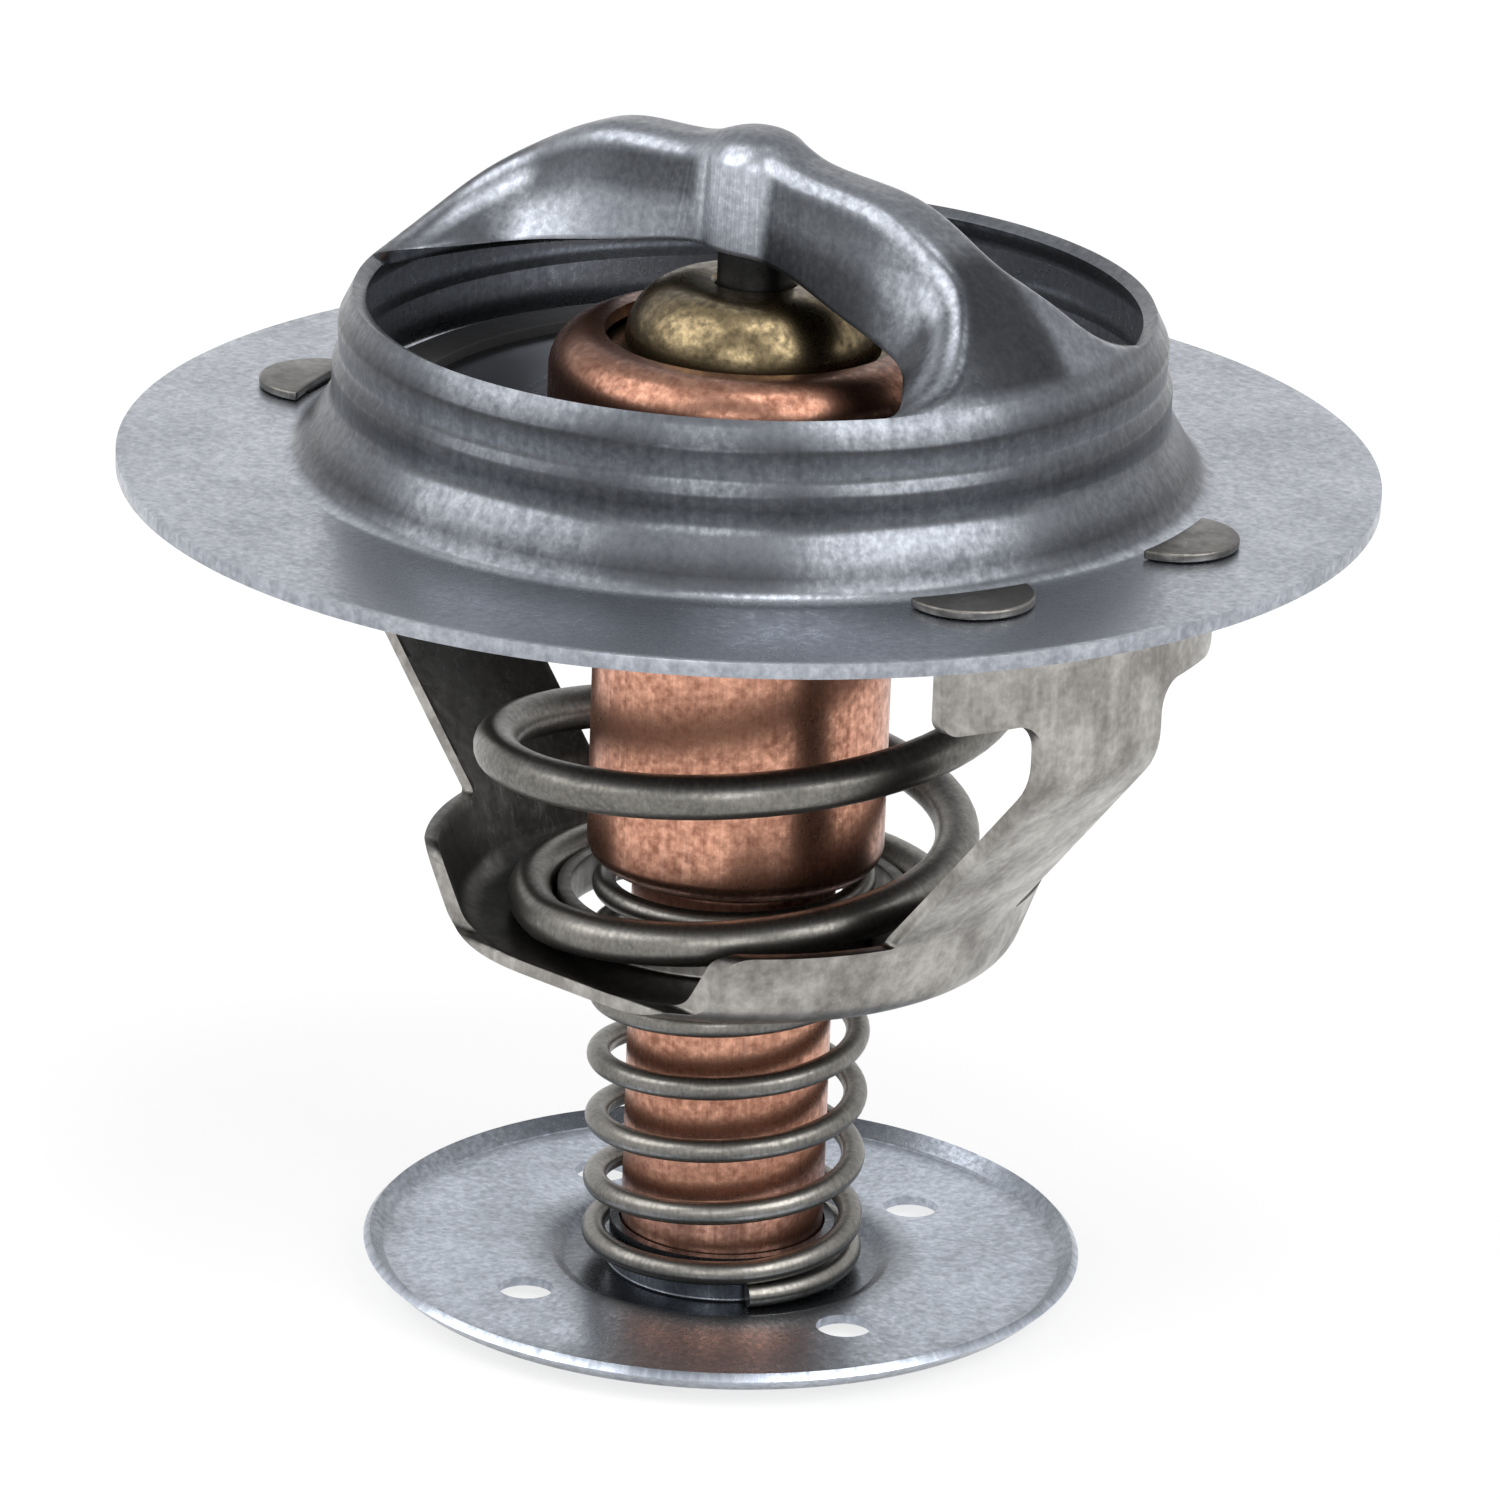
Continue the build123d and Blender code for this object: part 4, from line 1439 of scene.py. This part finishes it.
class Piston(Assembly):
    """The dark pin that the bridge holds."""

    sizes: CapsuleSizes

    def build(self) -> None:
        """Build the pin."""
        s = self.sizes
        r, foot, head, chamfer = s.piston_r, s.piston_foot_z, s.piston_head_z, s.pin_chamfer
        section = [(0.0, foot), (r - chamfer, foot), (r, foot + chamfer)]
        section += [(r, head - chamfer), (r - chamfer, head), (0.0, head)]
        piece = lathe("piston_pin", divided(section, 1.5), self.finishes.get(Finishes.PIN), 96)
        self.hand_over(piece, "piston", "piston_steel")


@dataclass
class CoilSizes:
    """Sizes of a wound spring, its foot first. As they stand, they are the main spring's."""

    name: str = "main_coil"
    node: str = "main_spring"
    foot_r: float = 10.95
    head_r: float = 17.0
    foot_z: float = -24.85
    head_z: float = -0.3
    wire: float = 2.4
    pitch: float = 9.0
    dead_pitch: float = 0.0
    foot_turns: float = 0.68
    head_turns: float = 0.7
    start_deg: float = 3.0
    steps_a_turn: int = 72

    @property
    def live_turns(self) -> float:
        """How many turns carry the travel."""
        dead = self.dead_pitch * (self.foot_turns + self.head_turns)
        return (self.head_z - self.foot_z - dead) / self.pitch

    @property
    def turns(self) -> float:
        """All the turns."""
        return self.foot_turns + self.live_turns + self.head_turns


class Spring(Assembly):
    """A spring wound by rule, with dead turns at its ends and live turns between."""

    def __init__(self, finishes: Finishes, sizes: CoilSizes, ends: tuple[str, str]) -> None:
        """Keep finishes, sizes and the two bodies.

        Args:
            finishes: The shared finishes.
            sizes: The spring's sizes.
            ends: The bodies that carry its foot and its head.
        """
        super().__init__(finishes, sizes)
        self.ends = ends

    def build(self) -> None:
        """Wind the spring and let it stand for its node."""
        s = self.sizes
        piece = placed(s.name, bpy.data.meshes.new(s.name))
        values = {
            "Foot Radius": s.foot_r * MM,
            "Head Radius": s.head_r * MM,
            "Foot Height": s.foot_z * MM,
            "Head Height": s.head_z * MM,
            "Foot Turns": s.foot_turns,
            "Head Turns": s.head_turns,
            "Live Turns": s.live_turns,
            "Dead Pitch": s.dead_pitch * MM,
            "Start Angle": math.radians(s.start_deg),
            "Wire Radius": s.wire / 2 * MM,
            "Steps": round(s.turns * s.steps_a_turn),
            "Sides": 28,
            "Material": self.finishes.get(Finishes.WIRE),
        }
        run_tree(piece, "wind_coil", values)
        shade(piece)
        self.hand_over(piece, s.node, "spring_wire", ride=False)
        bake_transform(piece)
        share = np.zeros(len(piece.data.vertices), np.float32)
        piece.data.attributes["coil_share"].data.foreach_get("value", share)


@dataclass
class DiscSizes:
    """Sizes of the bypass disc."""

    gauge: float = 0.5
    r: float = 19.5
    floor_z: float = -46.4
    seat_r: float = 8.7
    seat_slope: float = 0.9
    web_z: float = -45.75
    rim_reach: float = 0.95
    rim_height: float = 0.9
    bend: float = 0.8
    neck_r: float = 5.62
    neck_height: float = 3.0
    neck_bend: float = 0.7
    holes: int = 4
    hole_r: float = 1.5
    circle_r: float = 12.4
    hole_deg: float = 76.0
    # Brightness out from the neck: painted shade round the seat and at the rim's bend, a painted highlight on
    # the rim's edge
    levels: tuple[float, ...] = (0.3, 0.35, 0.3, 1.0, 1.0, 0.6, 0.45, 1.1)


class BypassDisc(Assembly):
    """The pressed disc that closes the bypass port."""

    body = "bypass_valve"
    sizes: DiscSizes

    def build(self) -> None:
        """Build the disc: a turned sheet with its holes."""
        s = self.sizes
        corners = [
            (s.neck_r, s.floor_z + s.neck_height), (s.neck_r, s.floor_z), (s.seat_r, s.floor_z),
            (s.seat_r + s.seat_slope, s.web_z), (s.r - s.rim_reach, s.web_z),
            (s.r, s.web_z + s.rim_height),
        ]
        radii = (s.neck_bend, s.neck_bend, s.neck_bend, s.bend)
        path = divided(rounded(corners, radii, 10.0), 1.5)
        steel = self.finishes.get(Finishes.DISC)
        piece = lathe("bypass_plate", sheet_section(path, s.gauge), steel, 224)
        values = {
            "Count": s.holes,
            "Circle Radius": s.circle_r * MM,
            "Start Angle": math.radians(s.hole_deg),
            "Step Angle": 2 * math.pi / s.holes,
            "Height": (s.web_z + s.gauge / 2) * MM,
            "Punch Size": (2 * s.hole_r * MM, 2 * s.hole_r * MM, 4 * s.gauge * MM),
            "Round": True,
            "Material": steel,
        }
        run_tree(piece, "punch_ring", values)
        shade(piece)
        tone(piece, self.painted_levels)
        self.hand_over(piece, "bypass_disc", "disc_steel")

    def painted_levels(self, spots: np.ndarray, facing: np.ndarray) -> np.ndarray:
        """Give the disc's brightness: plain on the flat, painted shade round the seat and along the rim's
        bend, and a painted highlight on the rim's edge.

        Args:
            spots: Places in millimetres.
            facing: The directions that they face.

        Returns:
            The brightness at each place.
        """
        s = self.sizes
        r = np.hypot(spots[:, 0], spots[:, 1])
        seat = [s.seat_r + reach for reach in (-1.0, 0.4, 2.4)]
        rim = [s.r - reach for reach in (1.6, 1.0, 0.4, 0.0)]
        # Painted shade round the seat and at the rim's bend, a painted highlight on the rim's edge
        return np.interp(r, [s.neck_r, *seat, *rim], s.levels)


@dataclass
class SealSizes:
    """Sizes of the rubber ring on the valve plate's edge."""

    inner_r: float = 18.3
    plate_r: float = 19.2
    plate_foot_z: float = 0.95
    plate_top_z: float = 1.95
    foot_r: float = 20.9
    foot_z: float = 0.35
    head_r: float = 20.6
    head_z: float = 2.55
    lip_r: float = 22.05
    lip_z: float = 1.75
    heel_r: float = 21.75
    heel_z: float = 1.15
    bends: tuple[float, ...] = (0.1, 0.2, 0.08, 0.2, 0.3, 0.1, 0.0, 0.0)


class Seal(Assembly):
    """The ring round the valve plate, with the lip that closes against the collar's flare."""

    body = "element"
    sizes: SealSizes

    def build(self) -> None:
        """Build the ring."""
        s = self.sizes
        corners = [
            (s.inner_r, s.plate_top_z), (s.inner_r, s.head_z), (s.head_r, s.head_z),
            (s.lip_r, s.lip_z), (s.heel_r, s.heel_z), (s.foot_r, s.foot_z), (s.inner_r, s.foot_z),
            (s.inner_r, s.plate_foot_z), (s.plate_r, s.plate_foot_z), (s.plate_r, s.plate_top_z),
        ]
        section = rounded(corners, s.bends, 20.0)
        piece = lathe("seal_ring", section, self.finishes.get(Finishes.RUBBER))
        self.hand_over(piece, "valve_seal", "rubber")


class HiddenPieces(Assembly):
    """Pieces whose solids are right as they are, and only get their finish."""

    NODES = {"boot": Finishes.RUBBER, "wax": Finishes.WAX, "valve_plate": Finishes.PLATE}

    def build(self, nodes: dict[str, bpy.types.Object]) -> None:
        """Give each solid its finish.

        Args:
            nodes: The frame's nodes.
        """
        for name, finish in self.NODES.items():
            node = nodes[name]
            node.data.materials.clear()
            node.data.materials.append(self.finishes.get(finish))
            LOG.info("%s: keeps its solid", name)


@dataclass
class Lamp:
    """One soft lamp of the studio."""

    name: str
    place: tuple[float, float, float]
    size: float
    power: float


class Studio:
    """Floor, world, lamps and the camera at the photograph's viewing angle."""

    FOCAL_PIXELS = 9439.4
    PICTURE_PIXELS = 1500
    SENSOR = 36.0
    DISTANCE = 500.0
    ELEVATION_DEG = 19.548
    ROLL_DEG = 2.098
    AZIMUTH_DEG = 43.0
    SHIFT = (0.035, -15.510)
    FLOOR_REACH = 3.0
    FLOOR_CLEARNESS = 0.75
    WORLD_LIGHT = 0.55
    AIM = (0.0, 0.0, -0.015)
    LAMPS = (
        Lamp("key", (-0.35, -0.45, 0.50), 0.75, 4.2),
        Lamp("front", (0.38, -0.65, 0.28), 0.40, 1.2),
        Lamp("side", (0.52, 0.02, 0.42), 0.60, 4.0),
        Lamp("top", (0.15, -0.05, 0.75), 0.30, 1.5),
    )

    def camera(self) -> None:
        """Set the camera where the photograph was taken from."""
        rise = math.radians(self.ELEVATION_DEG)
        roll = math.radians(self.ROLL_DEG)
        look = Vector((0.0, math.cos(rise), -math.sin(rise)))
        side = Vector((1.0, 0.0, 0.0))
        top = side.cross(look)
        right = side * math.cos(roll) + top * math.sin(roll)
        up = top * math.cos(roll) - side * math.sin(roll)
        place = -look * self.DISTANCE + right * self.SHIFT[0] + up * self.SHIFT[1]
        pose = Matrix.Identity(4)
        for row in range(3):
            pose[row][0], pose[row][1], pose[row][2] = right[row], up[row], -look[row]
            pose[row][3] = place[row] * MM
        data = bpy.data.cameras.new("camera")
        data.sensor_width = self.SENSOR
        data.lens = self.SENSOR * self.FOCAL_PIXELS / self.PICTURE_PIXELS
        data.clip_start = 0.01
        data.clip_end = 10.0
        made = placed("camera", data)
        made.matrix_world = Matrix.Rotation(math.radians(self.AZIMUTH_DEG), 4, "Z") @ pose
        bpy.context.scene.camera = made

    def floor(self, height: float) -> None:
        """Lay the pale floor, clear enough to show the disc that an open valve pushes below it.

        Args:
            height: Its height in metres.
        """
        reach = self.FLOOR_REACH
        corners = [(x * reach, y * reach, height) for x, y in ((-1, -1), (1, -1), (1, 1), (-1, 1))]
        mesh = bpy.data.meshes.new("floor")
        mesh.from_pydata(corners, [], [(0, 1, 2, 3)])
        made = placed("floor", mesh)
        material = bpy.data.materials.new("floor")
        graph = emptied(material)
        share = graph.math("MULTIPLY", graph.seen_rays(), self.FLOOR_CLEARNESS)
        matt = graph.add("ShaderNodeBsdfDiffuse", {"Color": (0.86, 0.86, 0.86, 1.0)})
        clear = graph.add("ShaderNodeBsdfTransparent", {"Color": WHITE})
        mixed = graph.add("ShaderNodeMixShader", {0: share, 1: matt.outputs[0], 2: clear.outputs[0]})
        graph.add("ShaderNodeOutputMaterial", {"Surface": mixed.outputs[0]})
        mesh.materials.append(material)
        made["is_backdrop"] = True

    def world(self) -> None:
        """Light the scene evenly and show white behind it."""
        world = bpy.data.worlds.new("studio")
        bpy.context.scene.world = world
        graph = emptied(world)
        strength = graph.between(graph.seen_rays(), (0.0, 1.0), (self.WORLD_LIGHT, 1.0))
        back = graph.add("ShaderNodeBackground", {"Color": WHITE, "Strength": strength})
        graph.add("ShaderNodeOutputWorld", {"Surface": back.outputs[0]})

    def lamps(self) -> None:
        """Hang the soft lamps."""
        for lamp in self.LAMPS:
            data = bpy.data.lights.new(lamp.name, "AREA")
            data.shape = "DISK"
            data.size = lamp.size
            data.energy = lamp.power
            made = placed(lamp.name, data)
            made.location = lamp.place
            aim = Vector(self.AIM) - Vector(lamp.place)
            made.rotation_euler = aim.to_track_quat("-Z", "Y").to_euler()

    def build(self, floor_height: float) -> None:
        """Set up the whole studio.

        Args:
            floor_height: Height of the floor in metres.
        """
        self.camera()
        self.floor(floor_height)
        self.world()
        self.lamps()
        bpy.context.scene.view_settings.view_transform = "Standard"


def main() -> None:
    """Build every piece round the frame."""
    logging.basicConfig(level=logging.INFO, format="%(name)s: %(message)s")
    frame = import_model()
    before = [list(corner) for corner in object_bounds()]
    finishes = Finishes()
    coil_tree()
    punch_tree()
    capsule = CapsuleSizes()
    housing = HousingSizes(flange_r=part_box("housing")[1].x / MM)
    Studio().build(before[0][2])
    Housing(finishes, housing).build()
    Frame(finishes, FrameSizes()).build()
    WaxElement(finishes, capsule).build()
    Piston(finishes, capsule).build()
    Spring(finishes, CoilSizes(), ("housing", "element")).build()
    light = CoilSizes(
        name="bypass_coil",
        node="bypass_spring",
        foot_r=7.0,
        head_r=7.0,
        foot_z=-45.2,
        head_z=-23.3,
        wire=1.3,
        pitch=3.6,
        dead_pitch=1.34,
        foot_turns=1.0,
        head_turns=1.0,
        start_deg=-34.5,
    )
    Spring(finishes, light, ("bypass_valve", "element")).build()
    BypassDisc(finishes, DiscSizes()).build()
    Seal(finishes, SealSizes()).build()
    HiddenPieces(finishes).build(frame["nodes"])


if __name__ == "__main__":
    main()
